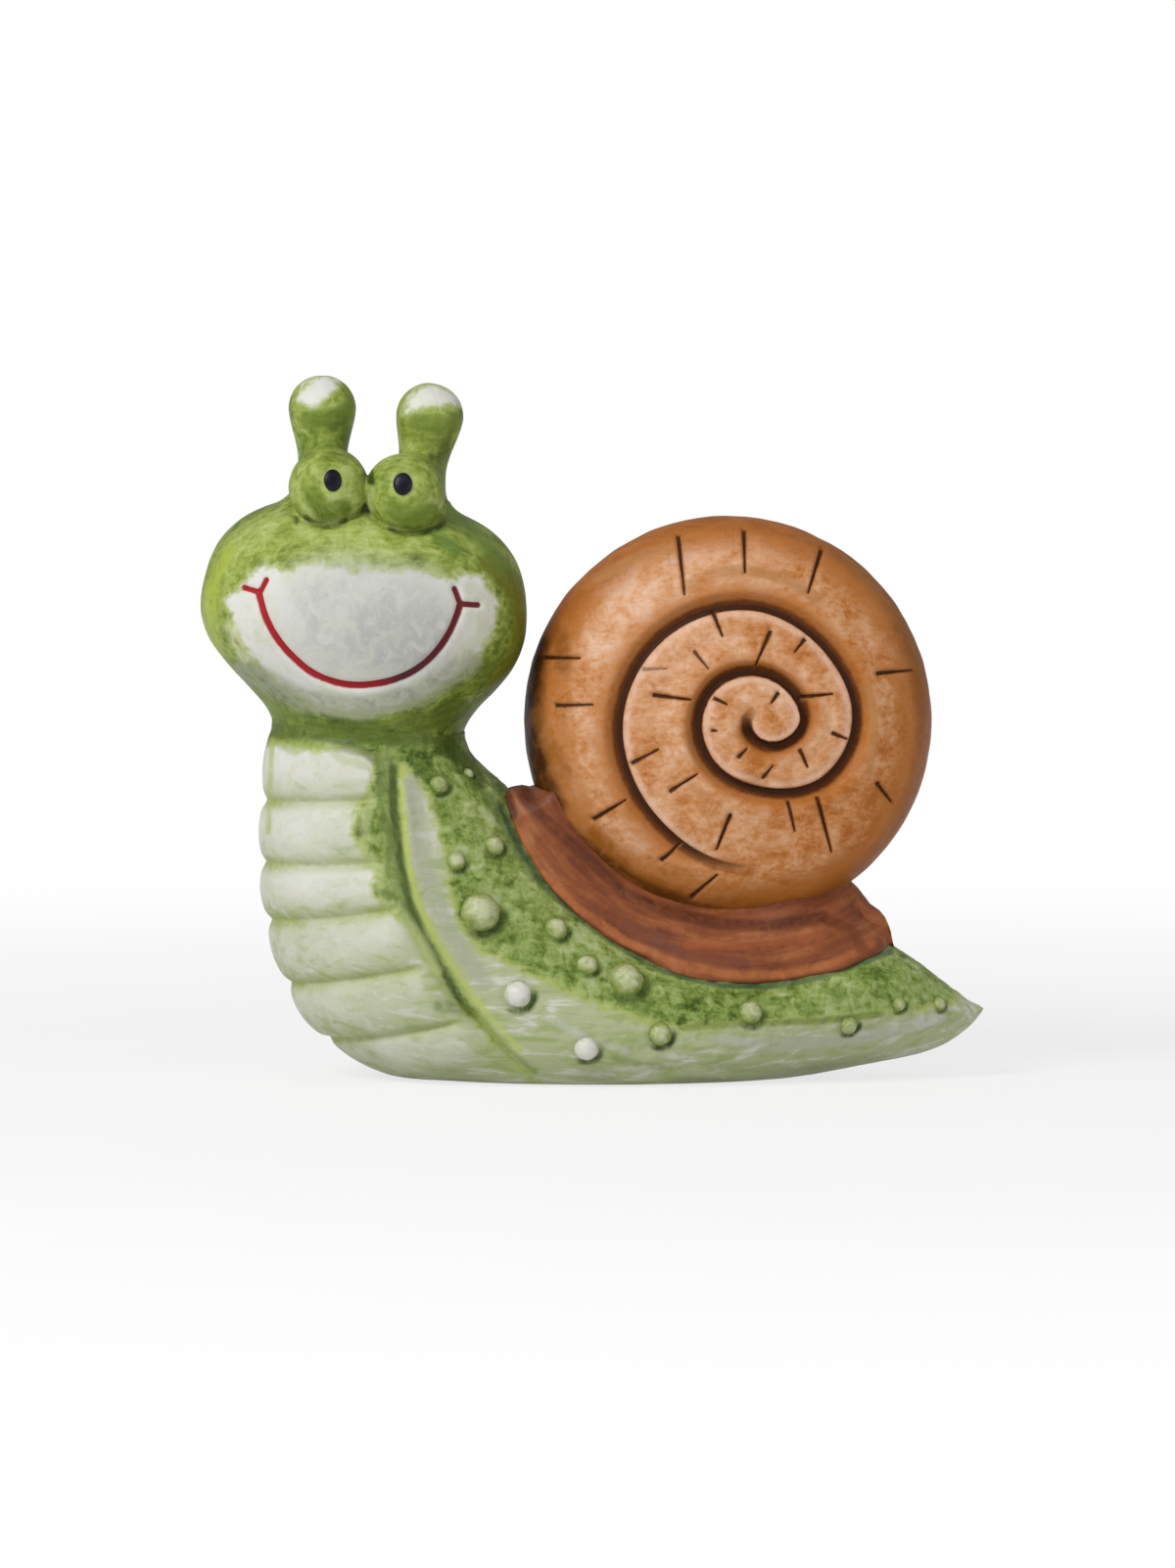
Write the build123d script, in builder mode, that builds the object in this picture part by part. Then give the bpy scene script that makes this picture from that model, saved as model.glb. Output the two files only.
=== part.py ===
"""A hollow slip-cast ceramic snail: body, head and coiled shell are cast apart, then luted together."""

import os
from math import asin, cos, degrees, radians, sin

from build123d import *

# Driving dimensions, in millimetres and degrees. X runs from head to tail, -Y is the painted front.

# Coiled shell
shell_radius = 44.5
shell_half_thickness = 22.5
shell_x = 29.6
coil_pole_x = 6.9
coil_pole_z = 0.7
coil_groove_width = 3.4
coil_groove_depth = 2.0
coil_start_angle = -225

# Clay walls and the holes that let air out in the kiln
wall = 4.0
vent_radius = 6.0
vent_x = -12.0
air_hole_radius = 3.5
air_hole_shift = 5.6

# Body casting, from the neck seam round under the shell to the tail
body_half_width = 28.0
chest_overhang = 1.7
tail_overhang = 11.3
tail_drop = 11.9
neck_gap = 12.7
neck_drop = 1.0
neck_half_width = 21.0
neck_half_depth = 18.5
back_thickness = 6.0
back_height = 27.5

# Lines pressed into the clay
line_depth = 1.0
crease_width = 1.7
skirt_line_width = 2.2
smile_line_width = 1.7

# Head casting
head_shift = 2.3
head_tilt = 4.0
head_turn = -4.0
head_height = 50.0
head_half_width = 35.4
head_half_depth = 26.8
head_forward = 3.4

# Eye bulbs and pupils, placed in the head's own frame
bulb_radius = 8.6
bulb_spread = 8.3
bulb_forward = 16.0
bulb_lift = 1.5
pupil_half_width = 1.8
pupil_half_height = 2.6
pupil_thickness = 0.45
pupil_rise = 10.0
left_pupil_turn = 3.0
right_pupil_turn = 15.0

# Feelers behind the eye bulbs
feeler_knob_radius = 7.3
feeler_length = 35.2
feeler_top_spread = 12.3
feeler_foot_spread = 9.5
feeler_forward = 6.0
feeler_sink = 10.0

# Smile, pressed into the front of the face
smile_radius = 22.0
smile_x = 0.8
smile_end_angle = 8.0
dimple_length = 5.5
dimple_turn = 25.0

# Saddle of clay between shell and body
saddle_step = 1.8
saddle_inset = 4.5

# Warts
wart_radius = 4.6

overrun = 3.0

# Rounding of the shell's rim, as a share of shell_half_thickness.
rim_round_share = 0.84

# Height of the smile's middle, as a share of head_height.
smile_height_share = 0.62

# Coil groove: distance from the pole at each eighth of a turn, as shares of shell_radius.
coil_radius_shares = (
    0.068, 0.069, 0.077, 0.104, 0.151, 0.210, 0.219, 0.247, 0.288, 0.310, 0.318,
    0.338, 0.422, 0.470, 0.485, 0.562, 0.638, 0.697, 0.710, 0.717,
)

# Back ridge under the shell: angle round the shell's centre, share of back_radius.
back_line_shares = (
    (187.5, 1.112),
    (197, 0.995),
    (212, 0.946),
    (232, 0.945),
    (252, 0.976),
    (272, 1.018),
    (290, 1.072),
    (306, 1.180),
)

# Chest and foot under the body: shares of chest_reach before the origin, of tail_reach behind it,
# and of neck_height.
chest_line_shares = (
    (1.000, 0.703),
    (0.990, 0.481),
    (0.935, 0.288),
    (0.820, 0.123),
    (0.617, 0.016),
    (0.309, -0.055),
)
foot_line_shares = (
    (0.047, -0.073),
    (0.351, -0.047),
    (0.651, 0.025),
    (0.837, 0.068),
    (0.948, 0.127),
)

# Half widths of the body at even steps from neck to tail: shares of body_half_width.
body_width_shares = (0.705, 0.775, 0.850, 0.920, 0.970, 1.000, 0.995, 0.950, 0.870, 0.750, 0.580, 0.340)

# Head sections: shares of head_height, head_half_width, head_half_depth, head_forward and of the
# shift from the neck's middle to the head's.
head_station_shares = (
    (0.09, 0.670, 0.760, 0.25, 0.20),
    (0.19, 0.800, 0.850, 0.60, 0.45),
    (0.31, 0.932, 0.945, 0.88, 0.75),
    (0.46, 1.000, 1.000, 1.00, 1.00),
    (0.61, 0.985, 0.985, 0.95, 1.00),
    (0.74, 0.925, 0.915, 0.85, 1.00),
    (0.85, 0.800, 0.780, 0.72, 1.00),
    (0.93, 0.610, 0.600, 0.66, 1.00),
    (0.98, 0.350, 0.350, 0.62, 1.00),
)

# Feeler outline from its foot to the top: shares of feeler_length and feeler_knob_radius.
feeler_outline_shares = (
    (0.00, 1.15),
    (0.20, 0.96),
    (0.38, 0.78),
    (0.53, 0.74),
    (0.66, 0.88),
    (0.79, 1.00),
    (0.91, 0.84),
)

# Saddle's lower edge: angle round the shell's centre, share of back_radius.
saddle_edge_shares = (
    (200, 1.010),
    (212, 1.012),
    (224, 1.028),
    (236, 1.034),
    (248, 1.052),
    (260, 1.092),
    (272, 1.118),
    (284, 1.136),
    (295, 1.153),
    (303, 1.175),
)

# Places on the body: shares of the way from neck to tail and of the way from back ridge to belly.
# Skirt line beside the belly.
skirt_line_shares = (
    (0.052, 0.395),
    (0.110, 0.450),
    (0.180, 0.492),
    (0.230, 0.510),
    (0.273, 0.523),
    (0.315, 0.542),
    (0.362, 0.590),
    (0.405, 0.640),
    (0.450, 0.712),
    (0.500, 0.800),
)

# Creases between the belly's scutes, from their chest end to the skirt end.
belly_crease_shares = (
    ((0.080, 1.0), (0.090, 0.46)),
    ((0.140, 1.0), (0.168, 0.53)),
    ((0.197, 1.0), (0.223, 0.57)),
    ((0.262, 1.0), (0.300, 0.56)),
    ((0.328, 1.0), (0.380, 0.66)),
)
crease_far_share = 0.20

# Warts on the painted side and on the far side: the two shares above, then a share of wart_radius.
near_wart_shares = (
    (0.080, 0.222, 0.52),
    (0.070, 0.075, 0.33),
    (0.193, 0.293, 0.50),
    (0.190, 0.151, 0.56),
    (0.268, 0.304, 1.00),
    (0.340, 0.160, 0.62),
    (0.390, 0.436, 0.72),
    (0.468, 0.204, 0.96),
    (0.412, 0.211, 0.58),
    (0.517, 0.590, 0.62),
    (0.575, 0.454, 0.60),
    (0.662, 0.315, 0.64),
    (0.818, 0.565, 0.50),
    (0.868, 0.369, 0.40),
    (0.925, 0.259, 0.38),
)
far_wart_shares = (
    (0.085, 0.260, 0.48),
    (0.180, 0.180, 0.56),
    (0.225, 0.360, 0.70),
    (0.310, 0.300, 0.96),
    (0.335, 0.540, 0.60),
    (0.420, 0.280, 0.58),
    (0.455, 0.500, 0.64),
    (0.530, 0.330, 0.76),
    (0.625, 0.420, 0.56),
    (0.740, 0.400, 0.62),
    (0.860, 0.440, 0.42),
)
wart_sink_share = 0.35
saddle_top_share = 0.90

# The shell stands over the back, and the neck, head, chest and tail take their places from both.
back_radius = shell_radius + back_thickness
shell_height = back_height + back_radius
tail_height = back_height - tail_drop
neck_x = shell_x - shell_radius - neck_gap - neck_half_width
neck_height = shell_height - neck_drop
chest_reach = neck_half_width - neck_x + chest_overhang
head_x = neck_x - head_shift
bulb_height = head_height + bulb_lift
feeler_foot_height = head_height - feeler_sink
smile_height = head_height * smile_height_share
air_hole_x = shell_x - air_hole_shift

shell_centre = Vector(shell_x, 0, shell_height)
tail_reach = shell_x + shell_radius + tail_overhang
tail_tip = Vector(tail_reach, 0, tail_height)
to_near_side = Vector(0, -1, 0)
to_far_side = Vector(0, 1, 0)

# The neck seam, tilted to the side. The head's own frame stands on it, turned a little to the side.
seam = Plane(
    origin=(neck_x, 0, neck_height),
    x_dir=(cos(radians(head_tilt)), 0, -sin(radians(head_tilt))),
    z_dir=(sin(radians(head_tilt)), 0, cos(radians(head_tilt))),
)
head_frame = Plane(seam.from_local_coords((head_x - neck_x, 0, 0)), seam.x_dir, seam.z_dir)
head_frame = head_frame.rotated((0, 0, head_turn))
head_front = Plane(head_frame.origin, head_frame.x_dir, -head_frame.y_dir)


def on_ray(angle, distance):
    """The point at a distance from the shell's centre, at an angle in the XZ plane."""
    return shell_centre + Vector(cos(radians(angle)), 0, sin(radians(angle))) * distance


# Guide lines in the XZ plane: the back ridge and the belly, both from the neck seam to the tail's tip.
back_line = Spline(
    seam.from_local_coords((neck_half_width, 0, 0)),
    *[on_ray(angle, back_radius * share) for angle, share in back_line_shares],
    tail_tip,
)
belly_line = Spline(
    seam.from_local_coords((-neck_half_width, 0, 0)),
    *[Vector(-chest_reach * x, 0, neck_height * z) for x, z in chest_line_shares],
    *[Vector(tail_reach * x, 0, neck_height * z) for x, z in foot_line_shares],
    tail_tip,
)


def on_body(along_share, down_share):
    """A point of the XZ plane between the back ridge and the belly, at shares along and down."""
    back = back_line @ along_share
    return back + (belly_line @ along_share - back) * down_share


def oval(plane, half_x, half_y):
    """An ellipse on a plane, as a loft section."""
    with BuildSketch(plane) as outline:
        Ellipse(half_x, half_y)
    return outline.sketch.face()


def body_solid(inset, neck_extra):
    """The body lofted from ovals that are each drawn in by inset, standing neck_extra past the seam."""
    neck_plane = Plane(seam.origin, -seam.x_dir, seam.z_dir).offset(neck_extra)
    sections = [oval(neck_plane, neck_half_width - inset, neck_half_depth - inset)]
    for number, width_share in enumerate(body_width_shares, start=1):
        along_share = number / (len(body_width_shares) + 1)
        back = on_body(along_share, 0)
        belly = on_body(along_share, 1)
        half_height = (belly - back).length / 2 - inset
        half_width = body_half_width * width_share - inset
        if min(half_height, half_width) > inset / 2:
            across = (belly - back).normalized()
            plane = Plane(origin=(back + belly) / 2, x_dir=across, z_dir=across.cross(to_near_side))
            sections.append(oval(plane, half_height, half_width))
    if inset == 0:
        sections.append(Vertex(*tail_tip))
    return loft(sections)


def head_solid(inset, neck_extra):
    """The head lofted from ovals that are each drawn in by inset, reaching neck_extra below the seam."""
    neck_plane = Plane(seam.origin, -seam.x_dir, seam.z_dir).offset(-neck_extra)
    sections = [oval(neck_plane, neck_half_width - inset, neck_half_depth - inset)]
    for height, width, depth, forward, shift in head_station_shares:
        half_width = head_half_width * width - inset
        half_depth = head_half_depth * depth - inset
        if min(half_width, half_depth) > inset:
            level = head_frame.offset(head_height * height)
            middle = level.from_local_coords(((neck_x - head_x) * (1 - shift), -head_forward * forward, 0))
            sections.append(oval(Plane(middle, level.x_dir, level.z_dir), half_width, half_depth))
    if inset == 0:
        crown = (0, -head_forward * head_station_shares[-1][3], head_height)
        sections.append(Vertex(*head_frame.from_local_coords(crown)))
    return loft(sections)


def shell_solid(inset):
    """The lens of the shell about its own axis: two flat domes with a round rim, drawn in by inset."""
    rim_round = shell_half_thickness * rim_round_share
    rim_reach = shell_radius - rim_round
    dome_radius = (rim_reach**2 / (shell_half_thickness - rim_round) + rim_round + shell_half_thickness) / 2
    dome_angle = degrees(asin(rim_reach / (dome_radius - rim_round)))
    with BuildSketch(Plane.XY) as half_shell:
        with BuildLine():
            front = JernArc((0, shell_half_thickness - inset), (1, 0), dome_radius - inset, -dome_angle)
            rim = JernArc(front @ 1, front % 1, rim_round - inset, 2 * dome_angle - 180)
            back = JernArc(rim @ 1, rim % 1, dome_radius - inset, -dome_angle)
            Line(back @ 1, front @ 0)
        make_face()
    return revolve(half_shell.sketch, axis=Axis.Y)


def ribbon(path_points, half_width):
    """A strip of even width along a smooth line through points of the XZ plane, edged with arcs."""
    path = Spline(*path_points)
    steps = 2 * len(path_points)
    with BuildSketch(Plane.XZ) as strip:
        with BuildLine():
            edge_ends = []
            for side in (half_width, -half_width):
                points = []
                for step in range(steps + 1):
                    along = path % (step / steps)
                    points.append(path @ (step / steps) + Vector(-along.Y, along.X) * side)
                for first in range(0, steps, 2):
                    ThreePointArc(*points[first : first + 3])
                edge_ends.append((points[0], points[-1]))
            Line(edge_ends[0][0], edge_ends[1][0])
            Line(edge_ends[0][1], edge_ends[1][1])
        make_face()
    return strip.sketch.face()


def straight_strip(start, end, width):
    """A straight strip of even width between two points of the XZ plane."""
    across = (end - start).normalized().cross(to_near_side) * (width / 2)
    corners = [start + across, end + across, end - across, start - across]
    with BuildSketch(Plane.XZ) as strip:
        with BuildLine():
            Polyline(*[(corner.X, corner.Z) for corner in corners], close=True)
        make_face()
    return strip.sketch.face()


def skin_hit(solid, through, side):
    """Where a line along Y through a point first meets a solid's skin from one side, and its normal."""
    start = Vector(through.X, 0, through.Z) + side * solid.bounding_box().size.length
    hits = solid.shell().find_intersection_points(Axis(start, -side))
    return max(hits, key=lambda hit: hit[0].dot(side))


# Plain outer forms. Each piece is cut against its neighbours' outer forms, so that they meet face to face.
to_shell = Location(shell_centre)
body_outer = body_solid(0, 0)
head_outer = head_solid(0, 0)
shell_outer = shell_solid(0).moved(to_shell)

with BuildPart() as body_form:
    add(body_outer)
    split(bisect_by=Plane.XY, keep=Keep.TOP)

# Lines in the body's skin: the skirt line on the painted side and the creases round the belly.
body_line_floor = body_solid(line_depth, 0)
skirt_points = [on_body(along, down) for along, down in skirt_line_shares]
skirt_strip = ribbon([(point.X, point.Z) for point in skirt_points], skirt_line_width / 2)
near_strips = []
far_strips = []
for (chest_along, chest_down), (skirt_along, skirt_down) in belly_crease_shares:
    chest_end = on_body(chest_along, chest_down)
    skirt_end = on_body(skirt_along, skirt_down)
    chest_end = chest_end - (skirt_end - chest_end).normalized() * overrun
    far_end = chest_end + (skirt_end - chest_end) * crease_far_share
    near_strips.append(straight_strip(chest_end, skirt_end, crease_width))
    far_strips.append(straight_strip(chest_end, far_end, crease_width))

with BuildPart() as body_lines:
    extrude([skirt_strip, *near_strips], amount=body_half_width + overrun)
    extrude(far_strips, amount=-body_half_width - overrun)
    add(body_line_floor, mode=Mode.SUBTRACT)

# The passage that lets air out of the shell, down through the saddle into the body.
with BuildPart() as air_passage:
    with BuildSketch(Plane.XY.offset(wall + overrun)):
        with Locations((air_hole_x, 0)):
            Circle(air_hole_radius)
    extrude(amount=shell_height - wall - overrun)

os.makedirs("parts", exist_ok=True)

# Body casting: hollow from the open neck down, with a flat foot and a vent in it.
body_hollow = body_solid(wall, overrun)
with BuildPart() as body_core:
    add(body_hollow)
    split(bisect_by=Plane.XY.offset(wall), keep=Keep.TOP)

with BuildPart() as body_casting:
    add(body_form.part)
    add(body_lines.part, mode=Mode.SUBTRACT)
    add(body_core.part, mode=Mode.SUBTRACT)
    add(air_passage.part, mode=Mode.SUBTRACT)
    with BuildSketch(Plane.XY):
        with Locations((vent_x, 0)):
            Circle(vent_radius)
    extrude(amount=wall + overrun, mode=Mode.SUBTRACT)

body_casting.part.label = "body_casting"
export_step(body_casting.part, "parts/body_casting.step")

# Head casting: a hollow bowl over the open neck, with the smile and its dimples pressed into the face.
head_line_floor = head_solid(line_depth, 0)
head_hollow = head_solid(wall, overrun)
with BuildPart() as head_lines:
    smile_sweep = 180 - 2 * smile_end_angle
    smile_middle = (smile_x, smile_height)
    with BuildSketch(head_front):
        with BuildLine():
            lower_edge = CenterArc(
                smile_middle, smile_radius + smile_line_width / 2, 180 + smile_end_angle, smile_sweep
            )
            upper_edge = CenterArc(
                smile_middle, smile_radius - smile_line_width / 2, 180 + smile_end_angle, smile_sweep
            )
            Line(lower_edge @ 0, upper_edge @ 0)
            Line(lower_edge @ 1, upper_edge @ 1)
        make_face()
        for end_angle, turn in ((180 + smile_end_angle, dimple_turn), (-smile_end_angle, -dimple_turn)):
            end_x = smile_x + smile_radius * cos(radians(end_angle))
            end_z = smile_height + smile_radius * sin(radians(end_angle))
            with Locations(Location((end_x, end_z), turn)):
                Rectangle(dimple_length, smile_line_width)
    extrude(amount=head_half_depth + head_forward + overrun)
    add(head_line_floor, mode=Mode.SUBTRACT)

with BuildPart() as head_casting:
    add(head_outer)
    add(head_lines.part, mode=Mode.SUBTRACT)
    add(head_hollow, mode=Mode.SUBTRACT)

head_casting.part.label = "head_casting"
export_step(head_casting.part, "parts/head_casting.step")

# Shell casting: a hollow lens with the coil pressed into both faces.
coil_points = []
for number, share in enumerate(coil_radius_shares):
    angle = radians(coil_start_angle + number * 45)
    reach = shell_radius * share
    coil_points.append((coil_pole_x + cos(angle) * reach, coil_pole_z + sin(angle) * reach))
coil_strip = ribbon(coil_points, coil_groove_width / 2)
coil_floor = shell_solid(coil_groove_depth)
shell_hollow = shell_solid(wall).moved(to_shell)

with BuildPart() as coil_lines:
    extrude(coil_strip, amount=shell_half_thickness + overrun, both=True)
    add(coil_floor, mode=Mode.SUBTRACT)

with BuildPart() as shell_core:
    add(shell_hollow)
    add(air_passage.part)

with BuildPart() as shell_casting:
    add(shell_outer)
    add(coil_lines.part.moved(to_shell), mode=Mode.SUBTRACT)
    add(shell_core.part, mode=Mode.SUBTRACT)

shell_casting.part.label = "shell_casting"
export_step(shell_casting.part, "parts/shell_casting.step")

# Saddle: a collar of clay that fills the space between shell and body, its foot a step proud of the body.
saddle_top_radius = shell_radius - saddle_inset
saddle_sections = []
for angle, edge_share in saddle_edge_shares:
    edge_radius = back_radius * edge_share
    foot_hit = skin_hit(body_form.part, on_ray(angle, edge_radius), to_near_side)[0]
    top_hit = skin_hit(shell_outer, on_ray(angle, saddle_top_radius), to_near_side)[0]
    half_foot = saddle_step - foot_hit.Y
    half_top = -top_hit.Y * saddle_top_share
    outward = on_ray(angle, 1) - shell_centre
    with BuildSketch(Plane(shell_centre, outward, outward.cross(to_near_side))) as saddle_section:
        with BuildLine():
            Polyline(
                (saddle_top_radius, -half_top),
                (edge_radius, -half_foot),
                (edge_radius, half_foot),
                (saddle_top_radius, half_top),
                close=True,
            )
        make_face()
    saddle_sections.append(saddle_section.sketch.face())

with BuildPart() as shell_saddle:
    loft(saddle_sections)
    add(shell_outer, mode=Mode.SUBTRACT)
    add(body_form.part, mode=Mode.SUBTRACT)
    add(air_passage.part, mode=Mode.SUBTRACT)

shell_saddle.part.label = "shell_saddle"
export_step(shell_saddle.part, "parts/shell_saddle.step")

# Eye bulbs: two balls on the brow that meet at the middle of the head.
head_middle = Plane(head_frame.origin, head_frame.y_dir, head_frame.x_dir)
bulb_balls = {}
for side_name, side in (("left", -1), ("right", 1)):
    bulb_centre = head_frame.from_local_coords((side * bulb_spread, -bulb_forward, bulb_height))
    with BuildPart() as bulb_ball:
        with Locations(bulb_centre):
            Sphere(bulb_radius)
        split(bisect_by=head_middle, keep=Keep.TOP if side > 0 else Keep.BOTTOM)
    bulb_balls[side_name] = (bulb_centre, bulb_ball.part)
    with BuildPart() as eye_bulb:
        add(bulb_ball.part)
        add(head_outer, mode=Mode.SUBTRACT)
    eye_bulb.part.label = f"eye_bulb_{side_name}"
    export_step(eye_bulb.part, f"parts/eye_bulb_{side_name}.step")

# Pupils: thin raised ovals of black glaze on the bulbs.
for side_name, turn in (("left", left_pupil_turn), ("right", right_pupil_turn)):
    bulb_centre = bulb_balls[side_name][0]
    gaze = Plane(bulb_centre, head_front.x_dir, head_front.z_dir).rotated((-pupil_rise, -turn, 0))
    with BuildPart() as pupil:
        with BuildSketch(gaze):
            Ellipse(pupil_half_width, pupil_half_height)
        extrude(amount=bulb_radius + overrun)
        with Locations(bulb_centre):
            Sphere(bulb_radius + pupil_thickness, mode=Mode.INTERSECT)
            Sphere(bulb_radius, mode=Mode.SUBTRACT)
    pupil.part.label = f"pupil_{side_name}"
    export_step(pupil.part, f"parts/pupil_{side_name}.step")

# Feelers: clubs that stand on the crown behind the bulbs and lean a little outwards.
for side_name, side in (("left", -1), ("right", 1)):
    foot = head_frame.from_local_coords((side * feeler_foot_spread, -feeler_forward, feeler_foot_height))
    top_height = feeler_foot_height + feeler_length
    top = head_frame.from_local_coords((side * feeler_top_spread, -feeler_forward, top_height))
    with BuildPart() as feeler:
        with BuildSketch(Plane(foot, head_frame.x_dir, head_front.z_dir)):
            with BuildLine():
                outline = [(feeler_knob_radius * r, feeler_length * up) for up, r in feeler_outline_shares]
                club = Spline(*outline, (0, feeler_length), tangents=[(0, 1), (-1, 0)])
                Polyline(club @ 1, (0, 0), club @ 0)
            make_face()
        revolve(axis=Axis(foot, head_frame.z_dir))
    lean = head_frame.z_dir.get_signed_angle(top - foot, head_frame.y_dir)
    club_form = feeler.part.rotate(Axis(foot, head_frame.y_dir), lean)
    with BuildPart() as feeler:
        add(club_form)
        add(head_outer, mode=Mode.SUBTRACT)
        add(bulb_balls["left"][1], mode=Mode.SUBTRACT)
        add(bulb_balls["right"][1], mode=Mode.SUBTRACT)
    feeler.part.label = f"feeler_{side_name}"
    export_step(feeler.part, f"parts/feeler_{side_name}.step")

# Warts: small balls of clay, sunk a little into the skin on both sides of the body.
for side_name, side, wart_shares in (
    ("near", to_near_side, near_wart_shares),
    ("far", to_far_side, far_wart_shares),
):
    for number, (along, down, radius_share) in enumerate(wart_shares, start=1):
        seat, skin_normal = skin_hit(body_form.part, on_body(along, down), side)
        if skin_normal.dot(side) < 0:
            skin_normal = -skin_normal
        radius = wart_radius * radius_share
        with BuildPart() as wart:
            with Locations(Plane(seat - skin_normal * radius * wart_sink_share, z_dir=skin_normal)):
                Sphere(radius)
            add(body_form.part, mode=Mode.SUBTRACT)
        wart.part.label = f"wart_{side_name}_{number}"
        export_step(wart.part, f"parts/wart_{side_name}_{number}.step")
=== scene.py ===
"""Looks of a hand-painted slip-cast ceramic snail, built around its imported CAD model."""

import math

import bpy
import numpy as np
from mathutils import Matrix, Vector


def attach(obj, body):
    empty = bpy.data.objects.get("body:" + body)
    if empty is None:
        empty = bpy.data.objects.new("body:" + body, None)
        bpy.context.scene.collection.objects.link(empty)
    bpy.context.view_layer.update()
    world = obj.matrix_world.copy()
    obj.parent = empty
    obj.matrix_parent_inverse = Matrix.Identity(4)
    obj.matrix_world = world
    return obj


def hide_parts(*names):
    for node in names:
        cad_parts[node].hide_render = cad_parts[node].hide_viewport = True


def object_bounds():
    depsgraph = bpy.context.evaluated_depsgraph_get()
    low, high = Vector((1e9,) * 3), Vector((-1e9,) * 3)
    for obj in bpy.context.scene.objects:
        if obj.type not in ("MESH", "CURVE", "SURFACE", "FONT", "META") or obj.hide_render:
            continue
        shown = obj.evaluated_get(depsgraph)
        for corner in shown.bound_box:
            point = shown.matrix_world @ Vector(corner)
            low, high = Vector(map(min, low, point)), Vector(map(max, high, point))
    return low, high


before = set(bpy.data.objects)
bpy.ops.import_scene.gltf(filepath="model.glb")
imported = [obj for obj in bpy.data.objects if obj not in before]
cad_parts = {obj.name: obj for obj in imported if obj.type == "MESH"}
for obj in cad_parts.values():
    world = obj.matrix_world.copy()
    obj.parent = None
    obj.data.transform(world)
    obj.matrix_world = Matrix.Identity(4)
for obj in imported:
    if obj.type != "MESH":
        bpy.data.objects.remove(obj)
cad_low, cad_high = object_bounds()

# Camera. A long lens on a tripod, level with the middle of the snail and looking a little down on it.
# The picture is 1200 pixels wide and 1602 high. Lengths in this file are millimetres unless said otherwise.
METRES = 0.001
picture_width = 1200
picture_height = 1602
picture_mm = 0.213
camera_lift = math.radians(4)
camera_reach = 2000
camera_aim = np.array([-0.85, 0, 64.0])
sensor_long_side = 36
to_camera = np.array([0, -math.cos(camera_lift), math.sin(camera_lift)])
camera_up = np.array([0, math.sin(camera_lift), math.cos(camera_lift)])
camera_place = camera_aim + to_camera * camera_reach

camera_data = bpy.data.cameras.new("studio_camera")
camera_data.sensor_width = sensor_long_side
camera_data.lens = sensor_long_side * camera_reach / (picture_height * picture_mm)
camera_data.clip_start = 0.1
camera_data.clip_end = 20
camera = bpy.data.objects.new("studio_camera", camera_data)
bpy.context.scene.collection.objects.link(camera)
camera.location = camera_place * METRES
camera.rotation_euler = (math.pi / 2 - camera_lift, 0, 0)
bpy.context.scene.camera = camera


def in_picture(points):
    """Pixels across and down at which the camera sees points."""
    away = points - camera_place
    scale = camera_reach / -(away @ to_camera) / picture_mm
    across = picture_width / 2 + away[:, 0] * scale
    down = picture_height / 2 - (away @ camera_up) * scale
    return np.stack([across, down], axis=1)


# Body. One hollow casting from the neck to the tip of the tail, cast in a two-part mould and standing on
# a flat foot. The belly's scutes and the skirt line beside them are pressed in with a wooden tool.
shell_middle = np.array([29.6, 0, 78.0])
shell_radius = 44.5
back_radius = 50.5
tail_reach = 85.4
tail_tip = np.array([85.4, 0, 15.0])
neck_middle = np.array([-48.6, 0, 77.0])
neck_tilt = math.radians(4)
neck_half_width = 21.0
neck_half_depth = 18.5
chest_reach = 71.3
body_half_width = 28.0
body_line_depth = 1.0
vent_middle = (-12.0, 0.0)
vent_radius = 6.0

# The back's line: degrees about the shell's middle, and distance from it as a share of back_radius.
back_line_shares = ((187.5, 1.112), (197, 0.995), (212, 0.946), (232, 0.945), (252, 0.976), (272, 1.018),
                    (290, 1.072), (304, 1.155), (308.3, 1.335), (310.0, 1.54))
# The belly's line in front and under the foot: shares of chest_reach or tail_reach across, and of the
# neck's height.
chest_line_shares = ((1.0, 0.703), (0.99, 0.481), (0.935, 0.288), (0.82, 0.123), (0.617, 0.016),
                     (0.309, -0.055))
foot_line_shares = ((0.047, -0.073), (0.351, -0.047), (0.651, 0.025), (0.837, 0.068), (0.948, 0.127))
# Half widths at even steps from neck to tail, as shares of body_half_width.
body_width_shares = (0.705, 0.775, 0.85, 0.92, 0.97, 1.0, 0.995, 0.95, 0.87, 0.75, 0.58, 0.34)
# The skirt line: shares of the way from neck to tail and from back to belly.
skirt_line_shares = ((0.052, 0.395), (0.11, 0.45), (0.18, 0.492), (0.23, 0.51), (0.273, 0.523),
                     (0.315, 0.542), (0.362, 0.59), (0.405, 0.64), (0.45, 0.712), (0.5, 0.8))
# A crease between two scutes: its share from neck to tail at the belly and at the skirt, and the skirt's
# share from back to belly there.
crease_shares = ((0.08, 0.09, 0.46), (0.14, 0.168, 0.53), (0.197, 0.223, 0.57), (0.262, 0.3, 0.56),
                 (0.328, 0.38, 0.66))
first_bound = 0.012
last_bound = 0.475
far_plate_shares = ((0.0, 0.97), (0.2, 0.955), (0.33, 0.9), (0.46, 0.86))
plate_end = (0.40, 0.46)
scute_swell = 1.2
crease_depth = 0.6
crease_half_width = 1.4
plate_sink = 0.2
fold_height = 0.9
fold_offset = 2.4
fold_half_width = 1.7
dent_depth = 0.24


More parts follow.
